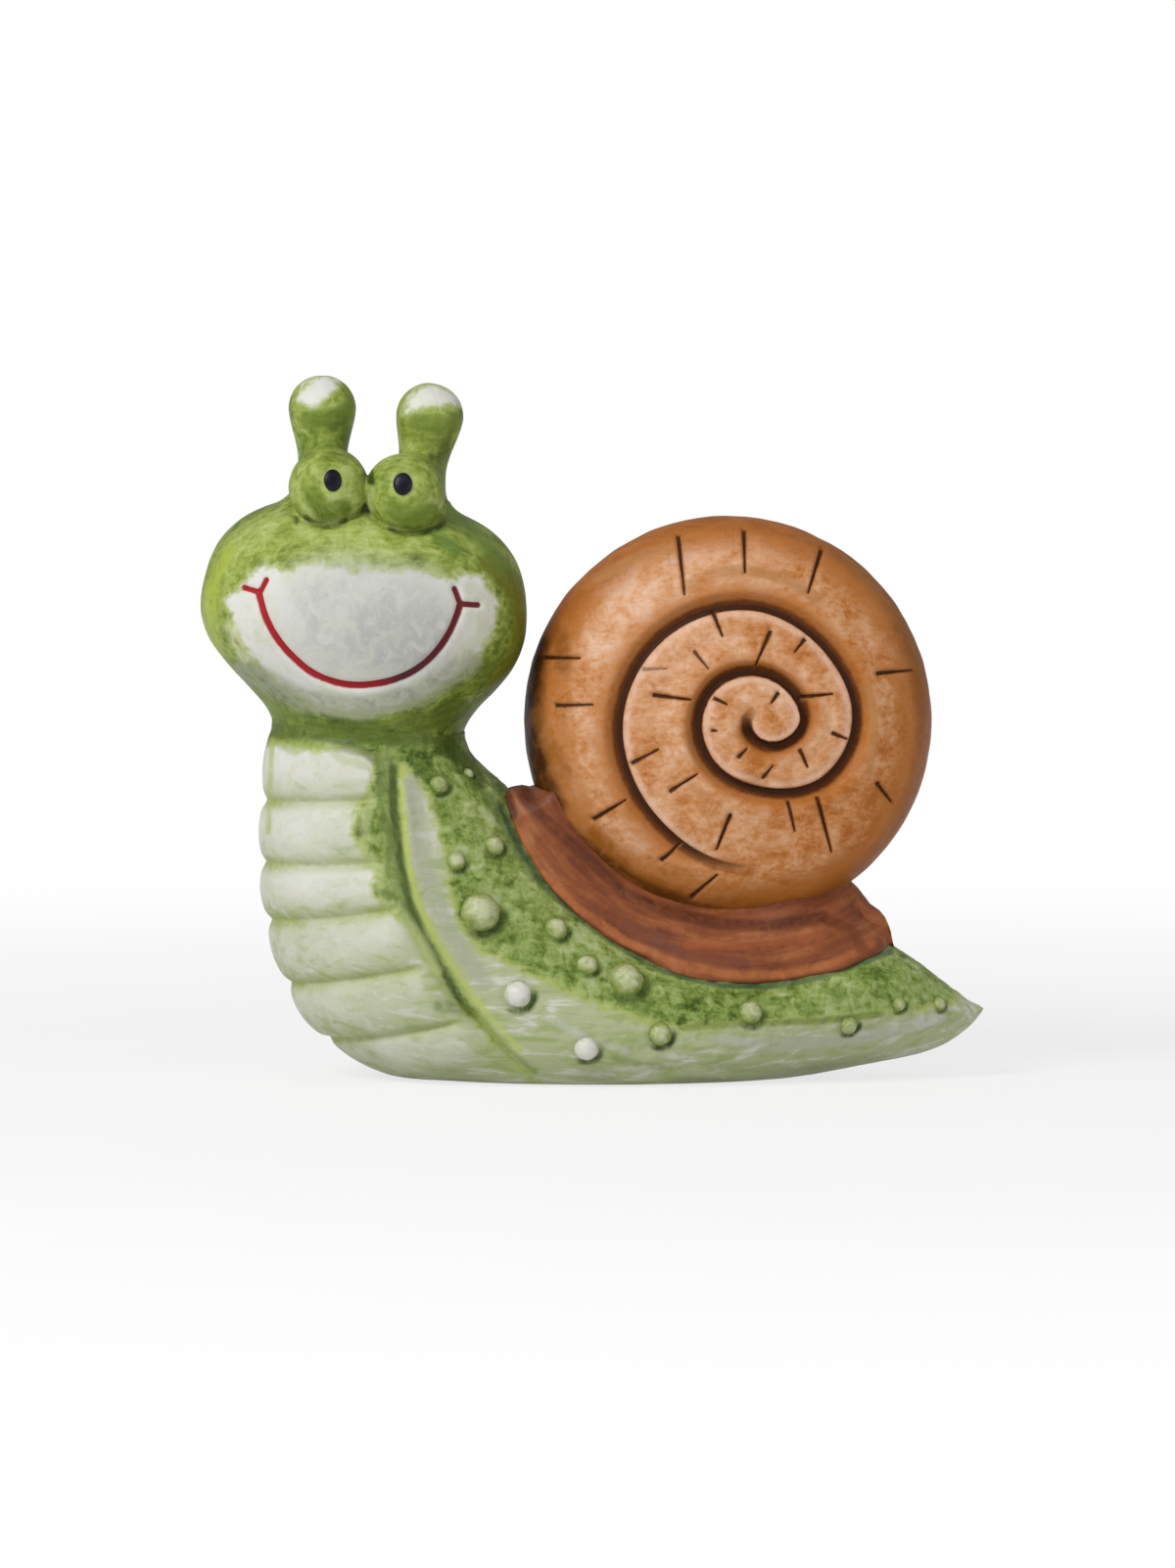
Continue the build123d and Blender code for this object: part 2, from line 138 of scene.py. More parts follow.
def smooth_line(knots, count):
    """Points at even steps of length along the smooth line through knots."""
    knots = np.asarray(knots, float)
    reach = np.concatenate([[0], np.cumsum(np.linalg.norm(np.diff(knots, axis=0), axis=1))])
    span = np.diff(reach)
    slope = np.diff(knots, axis=0) / span[:, None]
    size = len(knots)
    system = np.zeros((size, size))
    wanted = np.zeros_like(knots)
    for row in range(1, size - 1):
        system[row, row - 1 : row + 2] = span[row], 2 * (span[row - 1] + span[row]), span[row - 1]
        wanted[row] = 3 * (span[row] * slope[row - 1] + span[row - 1] * slope[row])
    few = min(4, size)
    for row, picked in ((0, slice(0, few)), (size - 1, slice(size - few, size))):
        powers = np.vander(reach[picked] - reach[row], few, increasing=True)
        system[row, row] = 1
        wanted[row] = np.linalg.solve(powers, knots[picked])[1]
    tangent = np.linalg.solve(system, wanted)
    fine = []
    for row in range(size - 1):
        t = np.linspace(0, 1, 60, endpoint=row == size - 2)[:, None]
        fine.append(
            (1 + 2 * t) * (1 - t) ** 2 * knots[row]
            + t * (1 - t) ** 2 * span[row] * tangent[row]
            + t**2 * (3 - 2 * t) * knots[row + 1]
            - t**2 * (1 - t) * span[row] * tangent[row + 1]
        )
    fine = np.vstack(fine)
    length = np.concatenate([[0], np.cumsum(np.linalg.norm(np.diff(fine, axis=0), axis=1))])
    steps = np.linspace(0, length[-1], count)
    return np.stack([np.interp(steps, length, fine[:, axis]) for axis in range(knots.shape[1])], axis=1)


def smooth_values(places, values, at):
    """Values read at places from the smooth curve through a table."""
    spread = 100
    curve = smooth_line(np.stack([np.asarray(places, float) * spread, values], axis=1), 600)
    return np.interp(np.asarray(at) * spread, curve[:, 0], curve[:, 1])


def on_shell_ray(angle, distance):
    """A point of the middle plane at an angle and distance from the shell's middle."""
    turn = np.radians(angle)
    outward = np.stack([np.cos(turn), 0 * turn, np.sin(turn)], axis=-1)
    return shell_middle + outward * np.expand_dims(distance, -1)


line_count = 1301
neck_across = np.array([math.cos(neck_tilt), 0, -math.sin(neck_tilt)])
back_line = smooth_line(
    [neck_middle + neck_across * neck_half_width]
    + [on_shell_ray(angle, back_radius * share) for angle, share in back_line_shares]
    + [tail_tip],
    line_count,
)
belly_line = smooth_line(
    [neck_middle - neck_across * neck_half_width]
    + [np.array([-chest_reach * x, 0, neck_middle[2] * z]) for x, z in chest_line_shares]
    + [np.array([tail_reach * x, 0, neck_middle[2] * z]) for x, z in foot_line_shares]
    + [tail_tip],
    line_count,
)
line_share = np.linspace(0, 1, line_count)
width_square = smooth_values(
    np.linspace(0, 100, len(body_width_shares) + 2),
    [neck_half_depth**2, *[(body_half_width * share) ** 2 for share in body_width_shares], 0],
    line_share * 100,
)
body_width = np.sqrt(np.maximum(width_square, 0))


def body_skin(along, down, side):
    """Points of the plain body by shares from neck to tail and back to belly, side -1 near and 1 far."""
    back = np.stack([np.interp(along, line_share, back_line[:, axis]) for axis in range(3)], axis=-1)
    belly = np.stack([np.interp(along, line_share, belly_line[:, axis]) for axis in range(3)], axis=-1)
    half_width = np.interp(along, line_share, body_width)
    points = back + (belly - back) * np.expand_dims(down, -1)
    points[..., 1] = side * half_width * np.sqrt(np.maximum(1 - (2 * down - 1) ** 2, 0))
    return points


def beside(points, line):
    """Each point's distance to a line of short runs, and the share of the line at which it is nearest."""
    lengths = np.linalg.norm(np.diff(line, axis=0), axis=1)
    starts = np.concatenate([[0], np.cumsum(lengths)])
    nearest = np.full(len(points), 1e9)
    where = np.zeros(len(points))
    for start, end, done, length in zip(line[:-1], line[1:], starts, lengths):
        run = end - start
        share = np.clip((points - start) @ run / (run @ run), 0, 1)
        gap = np.linalg.norm(points - start - share[:, None] * run, axis=1)
        nearer = gap < nearest
        nearest[nearer] = gap[nearer]
        where[nearer] = done + share[nearer] * length
    return nearest, where / starts[-1]


def inside_by(spots, outline):
    """How far each spot lies inside a closed outline, below 0 outside it."""
    closed = np.vstack([outline, outline[:1]])
    gap = beside(spots, closed)[0]
    inside = np.zeros(len(spots), bool)
    for (x, y), (next_x, next_y) in zip(closed[:-1], closed[1:]):
        if y != next_y:
            crosses = (y > spots[:, 1]) != (next_y > spots[:, 1])
            inside ^= crosses & (spots[:, 0] < x + (spots[:, 1] - y) * (next_x - x) / (next_y - y))
    return np.where(inside, gap, -gap)


def ease(value, low, high):
    """0 below low, 1 above high and smooth between them."""
    share = np.clip((value - low) / (high - low), 0, 1)
    return share * share * (3 - 2 * share)


def bump(gap, half_width):
    """1 where gap is 0, falling off smoothly over half_width."""
    return np.exp(-((gap / half_width) ** 2))


def unevenness(points, size, seed):
    """Smooth random values from -1 to 1 whose lumps are about size across."""
    lattice_side = 32
    lattice = np.random.default_rng(seed).uniform(-1, 1, (lattice_side,) * 3)
    cell = np.floor(points / size).astype(int)
    part = points / size - cell
    part = part * part * (3 - 2 * part)
    value = np.zeros(len(points))
    for corner in np.ndindex(2, 2, 2):
        weight = np.prod(np.where(corner, part, 1 - part), axis=1)
        index = (cell + corner) % lattice_side
        value += weight * lattice[index[:, 0], index[:, 1], index[:, 2]]
    return value


def ring_faces(rings, around):
    """Quads between closed rings of points, the first and last ring each closed by one point more."""
    row, column = np.meshgrid(np.arange(rings - 1), np.arange(around), indexing="ij")
    here = row * around + column
    beyond = row * around + (column + 1) % around
    quads = np.stack([here, beyond, beyond + around, here + around], axis=-1).reshape(-1, 4).tolist()
    first, last = rings * around, rings * around + 1
    end = (rings - 1) * around
    for column in range(around):
        quads.append([first, (column + 1) % around, column])
        quads.append([last, end + column, end + (column + 1) % around])
    return quads


def grid_normals(grid):
    """Outward normals of rings of points, given as an array of rings by points around by 3."""
    along = np.gradient(grid, axis=0)
    around = np.roll(grid, -1, axis=1) - np.roll(grid, 1, axis=1)
    normal = np.cross(around, along)
    return normal / np.maximum(np.linalg.norm(normal, axis=2, keepdims=True), 1e-9)


def clay_piece(name, points, faces, marks):
    """A smooth mesh object from points in millimetres, with marks as its named point attributes."""
    mesh = bpy.data.meshes.new(name)
    mesh.from_pydata((points * METRES).tolist(), [], faces)
    mesh.polygons.foreach_set("use_smooth", np.ones(len(mesh.polygons), bool))
    for mark, values in marks.items():
        if values.ndim == 1:
            layer = mesh.attributes.new(mark, "FLOAT", "POINT")
            layer.data.foreach_set("value", values.astype(np.float32))
        else:
            layer = mesh.attributes.new(mark, "FLOAT_COLOR", "POINT")
            layer.data.foreach_set("color", values.astype(np.float32).ravel())
    piece = bpy.data.objects.new(name, mesh)
    bpy.context.scene.collection.objects.link(piece)
    return piece


def ringed_piece(name, points, caps, rings, marks):
    """A piece made of closed rings of points, with the two caps that close its ends."""
    capped = {mark: np.concatenate([values, values[: len(caps)]]) for mark, values in marks.items()}
    return clay_piece(name, np.vstack([points, caps]), ring_faces(rings, len(points) // rings), capped)


def in_photo(points):
    """Pixels at which points show in the picture, those of the far half mirrored to the near one."""
    near = points.copy()
    near[:, 1] = -np.abs(points[:, 1])
    return in_picture(near)


def lay(paint, colour, cover):
    """Lays colour over paint, as thick as cover says from 0 to 1."""
    paint[:, :3] = paint[:, :3] * (1 - cover[:, None]) + np.array(colour) * cover[:, None]
    paint[:, 3] = paint[:, 3] * (1 - cover) + cover


def brush(paint, spots, strokes, reach=1.0):
    """Lays soft strokes over paint, where reach lets them.

    A stroke is its run in pixels of the picture, half its width in pixels, its colour and its strength."""
    for run, half_width, colour, strength in strokes:
        gap = beside(spots, np.asarray(run, float))[0]
        lay(paint, colour, strength * (1 - ease(gap, half_width * 0.35, half_width)) * reach)


body_rings = 458
near_steps = 132
far_steps = 76
last_ring = 0.9985
half_girth = 55
belly_length = 224
nowhere_near = 40
ring_share = np.linspace(0, last_ring, body_rings)
turn = np.concatenate([np.linspace(0, math.pi, near_steps, endpoint=False),
                       np.linspace(math.pi, 2 * math.pi, far_steps, endpoint=False)])
along, around = np.meshgrid(ring_share, turn, indexing="ij")
down = (1 - np.cos(around)) / 2
side = np.where(np.sin(around) >= 0, -1.0, 1.0)
body_grid = body_skin(along, down, side)
body_normal = grid_normals(body_grid)
flat = body_grid.reshape(-1, 3)
along, down, side = along.ravel(), down.ravel(), side.ravel()
on_near = side < 0

skirt_line = smooth_line(skirt_line_shares, 90)
skirt_down = np.interp(along, skirt_line[:, 0], skirt_line[:, 1])
skirt_points = body_skin(skirt_line[:, 0], skirt_line[:, 1], -1)
skirt_gap, skirt_place = beside(flat, skirt_points)
skirt_side = np.where(down < skirt_down, -skirt_gap, skirt_gap)
skirt_side[~on_near] = nowhere_near
skirt_hold = ease(skirt_place, 0, 0.06) * (1 - ease(skirt_place, 0.9, 1.0))

far_down = np.interp(along, *np.transpose(far_plate_shares))
near_room = np.where(down < skirt_down, 0, ease(skirt_side, 0.5, 6.0))
far_room = ease((down - far_down) * half_girth, 0, 3.0)
plate_room = np.where(on_near, near_room, far_room) * (1 - ease(along, *plate_end))

crease_lines = []
for chest_along, skirt_along, crease_down in crease_shares:
    crease_lines.append(chest_along + (skirt_along - chest_along) * (1 - down) / (1 - crease_down))
bounds = np.stack([0 * along + first_bound, *crease_lines, 0 * along + last_bound])
scute = np.zeros(len(along))
scute_shade = np.zeros(len(along))
crease_gap = np.full(len(along), float(nowhere_near))
for low, high in zip(bounds[:-1], bounds[1:]):
    share = np.clip((along - low) / (high - low), 0, 1)
    in_scute = (along >= low) & (along < high)
    scute += np.where(in_scute, np.sin(math.pi * share) ** 0.75, 0)
    scute_shade += np.where(in_scute, ease(share, 0.45, 0.95) * (1 - ease(share, 0.97, 1)), 0)
for line in bounds[1:-1]:
    crease_gap = np.minimum(crease_gap, np.abs(along - line) * belly_length)

flank_room = np.where(on_near, ease(-skirt_side, 5.5, 9.0), 1 - ease((down - far_down) * half_girth, -3, 0))
flank_room *= 1 - ease(down, 0.62, 0.74)
dents = np.maximum(unevenness(flat, 2.2, 3), -0.75) + 0.5 * unevenness(flat, 1.3, 4)
relief = 0.16 * unevenness(flat, 9.0, 1) + 0.07 * unevenness(flat, 3.2, 2) + dent_depth * flank_room * dents
relief += plate_room * (scute_swell * scute - crease_depth * bump(crease_gap, crease_half_width) - plate_sink)
relief -= skirt_hold * body_line_depth * bump(skirt_side, 1.0)
relief += skirt_hold * fold_height * bump(skirt_side + fold_offset, fold_half_width) * (skirt_side < 0.5)
points = flat + body_normal.reshape(-1, 3) * relief[:, None]

# The foot is flat, with a soft edge, and the vent's hole goes a little way up into it.
foot_softness = 1.4
vent_lip = 0.3
vent_depth = 7
points[:, 2] = 0.5 * (points[:, 2] + np.sqrt(points[:, 2] ** 2 + foot_softness)) - 0.05
points[:, 2] = np.maximum(points[:, 2], 0)
vent_gap = np.hypot(points[:, 0] - vent_middle[0], points[:, 1] - vent_middle[1])
in_vent = (points[:, 2] < 1.5) & (vent_gap < vent_radius + vent_lip)
points[in_vent, 2] += vent_depth * (1 - ease(vent_gap[in_vent], vent_radius - 0.4, vent_radius + vent_lip))

# Paint on the body, brushed on by hand: leaf green over the flank and off-white on the belly plate and along
# the foot. Painted shade darkens the pressed skirt line and a painted yellow-green highlight runs along its fold.
leaf_shadow = (0.04, 0.065, 0.01)
leaf_dark = (0.11, 0.155, 0.02)
# Dark green along the neck under the head: partly the paint there, partly painted shade under the overhanging
# head.
neck_green_and_shade = (0.09, 0.13, 0.016)
belly_outline = ((240, 764), (290, 760), (320, 766), (350, 764), (380, 772), (381, 795), (372, 815),
                 (362, 830),
                 (362, 852), (372, 872), (384, 890), (382, 912), (396, 930), (422, 950), (436, 980),
                 (452, 1000),
                 (464, 1022), (480, 1040),
                 (500, 1062), (525, 1082), (540, 1104), (540, 1140), (240, 1140))
foot_outline = ((414, 783), (436, 812), (447, 842), (455, 875), (459, 910), (470, 945), (490, 972),
                (520, 985),
                (557, 1003), (600, 1022), (650, 1040), (694, 1051), (736, 1048), (778, 1044), (833, 1044),
                (883, 1041),
                (911, 1036), (944, 1031), (968, 1026), (982, 1015), (990, 1002), (1030, 990),
                (1030, 1140), (560, 1140),
                (550, 1106), (528, 1082), (506, 1056), (488, 1030), (472, 1008), (456, 980), (440, 950),
                (424, 912),
                (417, 880), (413, 850), (409, 800))
far_foot_outline = ((400, 1030), (470, 1044), (560, 1056), (694, 1060), (778, 1052), (883, 1046),
                    (944, 1034), (968, 1028),
                    (982, 1015), (990, 1002), (1030, 990), (1030, 1140), (400, 1140))
saddle_foot_line = ((512, 825), (530, 866), (556, 906), (596, 941), (640, 972), (682, 993), (732, 1006),
                    (782, 1008),
                    (832, 1000), (875, 985), (910, 972))
# Strokes of the brush: run in pixels, half width in pixels, colour and strength.
body_strokes = (
    # Dark green along the neck under the head, partly paint and partly painted shade.
    (((272, 746), (330, 748), (400, 752)), 14, neck_green_and_shade, 0.75),
    (((400, 753), (440, 753), (480, 746)), 14, neck_green_and_shade, 0.7),
    # Painted shade under the head at the top of the belly plate.
    (((345, 762), (372, 768), (386, 778)), 8, leaf_shadow, 0.5),
    (((286, 760), (300, 768), (318, 760), (345, 764)), 6, (0.3, 0.38, 0.1), 0.6),
    (((278, 756), (276, 800), (274, 850)), 4, (0.42, 0.48, 0.12), 0.6),
    (((336, 764), (350, 776), (372, 782)), 7, (0.4, 0.45, 0.22), 0.45),
    (((396, 775), (395, 810), (400, 850), (406, 885), (414, 920), (428, 952), (446, 984), (464, 1015)), 15,
     (0.29, 0.36, 0.12), 0.6),
    # Painted shade: dark green along the pressed skirt line.
    (((401, 785), (402, 827), (409, 883), (418, 924), (433, 957), (451, 988), (471, 1024),
      (480, 1034)), 6, leaf_shadow, 0.8),
    (((480, 1032), (495, 1044), (515, 1068), (546, 1095)), 4, (0.2, 0.25, 0.06), 0.5),
    # Painted highlight: yellow-green along the raised fold beside the skirt line, where it catches the light.
    (((412, 785), (412, 827), (417, 880), (426, 918), (441, 951), (459, 982), (479, 1012), (503, 1042),
      (532, 1074)), 4,
     (0.46, 0.54, 0.13), 0.75),
    # Painted shade: grey over the off-white band beside the fold.
    (((421, 800), (429, 850), (436, 890), (448, 925), (462, 955), (478, 980), (496, 1004)), 12,
     (0.37, 0.39, 0.31), 0.6),
    (((388, 817), (393, 835), (398, 853), (397, 880), (393, 900)), 4, (0.12, 0.17, 0.03), 0.55),
    (((380, 815), (372, 845), (372, 870), (388, 890), (390, 915), (410, 935), (430, 960), (446, 992)), 8,
     (0.45, 0.52, 0.22), 0.6),
    (((393, 912), (397, 916)), 7, leaf_dark, 0.6),
    (((448, 1028), (470, 1030), (484, 1036)), 9, leaf_dark, 0.5),
    (((300, 1060), (360, 1085), (430, 1098), (500, 1102)), 14, (0.36, 0.4, 0.2), 0.3),
    (((905, 1088), (960, 1074), (996, 1052)), 7, (0.24, 0.27, 0.14), 0.4),
    (((628, 1081), (650, 1087), (684, 1091)), 5, (0.2, 0.25, 0.07), 0.5),
    (((560, 1040), (600, 1062), (640, 1074)), 6, (0.55, 0.56, 0.5), 0.5),
    (((730, 1062), (800, 1068), (880, 1060), (960, 1040)), 9, (0.5, 0.51, 0.45), 0.55),
    (((720, 1090), (800, 1092), (900, 1080)), 7, (0.3, 0.34, 0.16), 0.5),
    (((700, 1050), (760, 1046), (840, 1043), (900, 1036)), 5, (0.13, 0.18, 0.03), 0.55),
    # Painted shade on the right side of the neck, away from the lamp.
    (((458, 762), (474, 778), (488, 800)), 13, leaf_shadow, 0.6),
    # Painted shade on the flank under the saddle's lower edge.
    (((500, 815), (520, 850), (545, 895)), 9, (0.08, 0.13, 0.05), 0.5),
    (saddle_foot_line, 5, (0.035, 0.09, 0.05), 0.65),
)

flank_pixels = 200
body_spots = in_photo(points)
white_near = np.maximum(inside_by(body_spots, np.array(belly_outline)),
                        inside_by(body_spots, np.array(foot_outline)))
white_far = np.maximum((down - far_down) * flank_pixels, inside_by(body_spots, np.array(far_foot_outline)))
body_white = np.where(on_near, white_near, white_far) * picture_mm
body_paint = np.zeros((len(points), 4))
brush(body_paint, body_spots, body_strokes)
crease_end = np.maximum(1 - ease(np.abs(skirt_side), 3, 16), ease(down, 0.84, 0.97))
body_crease = plate_room * bump(crease_gap, 1.7) * (0.45 + 0.55 * crease_end)

# Seats of the warts, since painted shadow darkens the body below each: shares of the way from neck to tail
# and from back to belly, and of wart_radius.
wart_radius = 4.6
wart_sink_share = 0.35
near_wart_shares = ((0.080, 0.222, 0.52), (0.070, 0.075, 0.33), (0.193, 0.293, 0.50), (0.190, 0.151, 0.56),
                    (0.268, 0.304, 1.0), (0.340, 0.160, 0.62), (0.390, 0.436, 0.72), (0.468, 0.204, 0.96),
                    (0.412, 0.211, 0.58), (0.517, 0.590, 0.62), (0.575, 0.454, 0.60), (0.662, 0.315, 0.64),
                    (0.818, 0.565, 0.50), (0.868, 0.369, 0.40), (0.925, 0.259, 0.38))
far_wart_shares = ((0.085, 0.260, 0.48), (0.180, 0.180, 0.56), (0.225, 0.360, 0.70), (0.310, 0.300, 0.96),
                   (0.335, 0.540, 0.60), (0.420, 0.280, 0.58), (0.455, 0.500, 0.64), (0.530, 0.330, 0.76),
                   (0.625, 0.420, 0.56), (0.740, 0.400, 0.62), (0.860, 0.440, 0.42))
white_warts = ("wart_near_7", "wart_near_10", "wart_far_5", "wart_far_7")


def skin_at(along, down, side):
    """A point of the plain body's skin and the direction straight out of it."""
    small = 0.002
    spot = body_skin(np.array([along]), np.array([down]), side)[0]
    on_line = body_skin(np.array([along + small]), np.array([down]), side)[0] - spot
    on_ring = body_skin(np.array([along]), np.array([down + small]), side)[0] - spot
    out = np.cross(on_line, on_ring)
    out /= np.linalg.norm(out)
    return spot, out * np.sign(out[1] * side)


warts = {}
for side_name, wart_side, shares in (("near", -1, near_wart_shares), ("far", 1, far_wart_shares)):
    for number, (wart_along, wart_down, radius_share) in enumerate(shares, start=1):
        seat, out = skin_at(wart_along, wart_down, wart_side)
        radius = wart_radius * radius_share
        warts[f"wart_{side_name}_{number}"] = (seat - out * radius * wart_sink_share, out, radius)
# Painted shadow on the body round each wart: a dark crescent at its lower right, away from the key lamp, and a
# faint ring round the rest.
shadow_way = np.array([0.55, 0, -0.83])
for centre, out, radius in warts.values():
    gap = np.linalg.norm(points - centre, axis=1) - radius
    low_side = ease((points - centre) @ shadow_way, 0, radius)
    shadow_edge = 1 - ease(gap, 0.15 * radius, (0.3 + 0.25 * low_side) * radius)
    lay(body_paint, leaf_shadow, (0.1 + 0.88 * low_side) * shadow_edge)
foot_patches = ease(unevenness(points * (0.5, 1, 1), 5.0, 41), -0.1, 0.6)
lay(body_paint, (0.2, 0.23, 0.08), 0.6 * (1 - ease(points[:, 2], 0.5, 6)) * foot_patches)
body_tone = 0.07 * unevenness(points, 16.0, 5) + 0.06 * flank_room * np.clip(dents, -0.8, 0.8)
body_tone += 0.012 + 0.045 * ease(along, 0.6, 0.85)
# Painted shade over the off-white: greyer towards the foot and the floor, off the belly plate and on the lower
# part of each scute, with random patches.
body_shade_paint = 0.18 + 0.4 * (1 - ease(points[:, 2], 14, 64)) + 0.2 * np.clip(unevenness(points, 9.0, 6), -1, 1)
body_shade_paint += 0.45 * (1 - plate_room) + 0.35 * plate_room * scute_shade + 0.3 * (1 - ease(points[:, 2], 0, 7))


class Glaze:
    """Painted and fired clay, put together node by node. Sizes of its lumps are millimetres."""

    def __init__(self, name):
        self.material = bpy.data.materials.new(name)
        self.material.use_nodes = True
        self.tree = self.material.node_tree
        self.shader = self.tree.nodes["Principled BSDF"]
        self.place = self.node("ShaderNodeTexCoord").outputs["Object"]

    def node(self, kind, **settings):
        """A new node of a kind with its settings."""
        made = self.tree.nodes.new(kind)
        for setting, value in settings.items():
            setattr(made, setting, value)
        return made

    def put(self, socket, value):
        """Links another node's output to a socket, or sets the socket to a number or colour."""
        if isinstance(value, bpy.types.NodeSocket):
            self.tree.links.new(value, socket)
        elif isinstance(value, tuple) and len(value) == 3 and socket.type == "RGBA":
            socket.default_value = (*value, 1)
        else:
            socket.default_value = value

    def mark(self, name, output="Fac"):
        """What the mesh carries at each point under a name."""
        return self.node("ShaderNodeAttribute", attribute_name=name).outputs[output]

    def lumps(self, size, detail=3.0, rough=0.55, twist=0.0, stretch=(1, 1, 1), turn=(0, 0, 0)):
        """Noise from 0 to 1 in lumps of a size, longer where stretch is below 1."""
        mapping = self.node("ShaderNodeMapping")
        self.put(mapping.inputs["Vector"], self.place)
        mapping.inputs["Scale"].default_value = stretch
        mapping.inputs["Rotation"].default_value = [math.radians(angle) for angle in turn]
        noise = self.node("ShaderNodeTexNoise")
        self.put(noise.inputs["Vector"], mapping.outputs["Vector"])
        noise.inputs["Scale"].default_value = 1 / (size * METRES)
        noise.inputs["Detail"].default_value = detail
        noise.inputs["Roughness"].default_value = rough
        noise.inputs["Distortion"].default_value = twist
        return noise.outputs["Fac"]

    def math(self, operation, first, second=0.0):
        made = self.node("ShaderNodeMath", operation=operation)
        self.put(made.inputs[0], first)
        self.put(made.inputs[1], second)
        return made.outputs[0]

    def total(self, *parts):
        """The sum of value times weight pairs."""
        running = None
        for value, weight in parts:
            part = self.math("MULTIPLY", value, weight)
            running = part if running is None else self.math("ADD", running, part)
        return running

    def between(self, value, low, high):
        """0 at low, 1 at high and smooth between them."""
        made = self.node("ShaderNodeMapRange", interpolation_type="SMOOTHSTEP", clamp=True)
        self.put(made.inputs["Value"], value)
        made.inputs["From Min"].default_value = low
        made.inputs["From Max"].default_value = high
        return made.outputs["Result"]

    def tint(self, under, over, *shares):
        """The colour under, with as much of the colour over as the product of shares says."""
        share = shares[0]
        for more in shares[1:]:
            share = self.math("MULTIPLY", share, more)
        made = self.node("ShaderNodeMix", data_type="RGBA", clamp_factor=True)
        for number, value in ((0, share), (6, under), (7, over)):
            self.put(made.inputs[number], value)
        return made.outputs[2]

    def ramp(self, share, stops):
        """Colours read from stops of position and colour."""
        made = self.node("ShaderNodeValToRGB")
        self.put(made.inputs["Fac"], share)
        points = made.color_ramp.elements
        while len(points) < len(stops):
            points.new(0.5)
        for point, (position, colour) in zip(points, stops):
            point.position = position
            point.color = (*colour, 1)
        return made.outputs["Color"]

    def over_paint(self, colour, patches):
        """Lays the strokes kept in the paint mark over colour, broken up by patches from 0 to 1."""
        cover = self.mark("paint", "Alpha")
        stroke = self.node("ShaderNodeVectorMath", operation="DIVIDE")
        self.put(stroke.inputs[0], self.mark("paint", "Color"))
        self.put(stroke.inputs[1], self.math("MAXIMUM", cover, 0.001))
        return self.tint(colour, stroke.outputs["Vector"], cover, self.total((patches, 2.4), (-0.2, 1.0)))

    def finish(self, colour, height, depth, roughness, gloss=0.22):
        """Gives the shader its colour, fine relief, roughness and gloss."""
        self.put(self.shader.inputs["Base Color"], colour)
        self.put(self.shader.inputs["Roughness"], roughness)
        self.shader.inputs["Specular IOR Level"].default_value = gloss
        bump = self.node("ShaderNodeBump")
        bump.inputs["Strength"].default_value = 1
        bump.inputs["Distance"].default_value = depth * METRES
        self.put(bump.inputs["Height"], height)
        self.put(self.shader.inputs["Normal"], bump.outputs["Normal"])
        return self.material


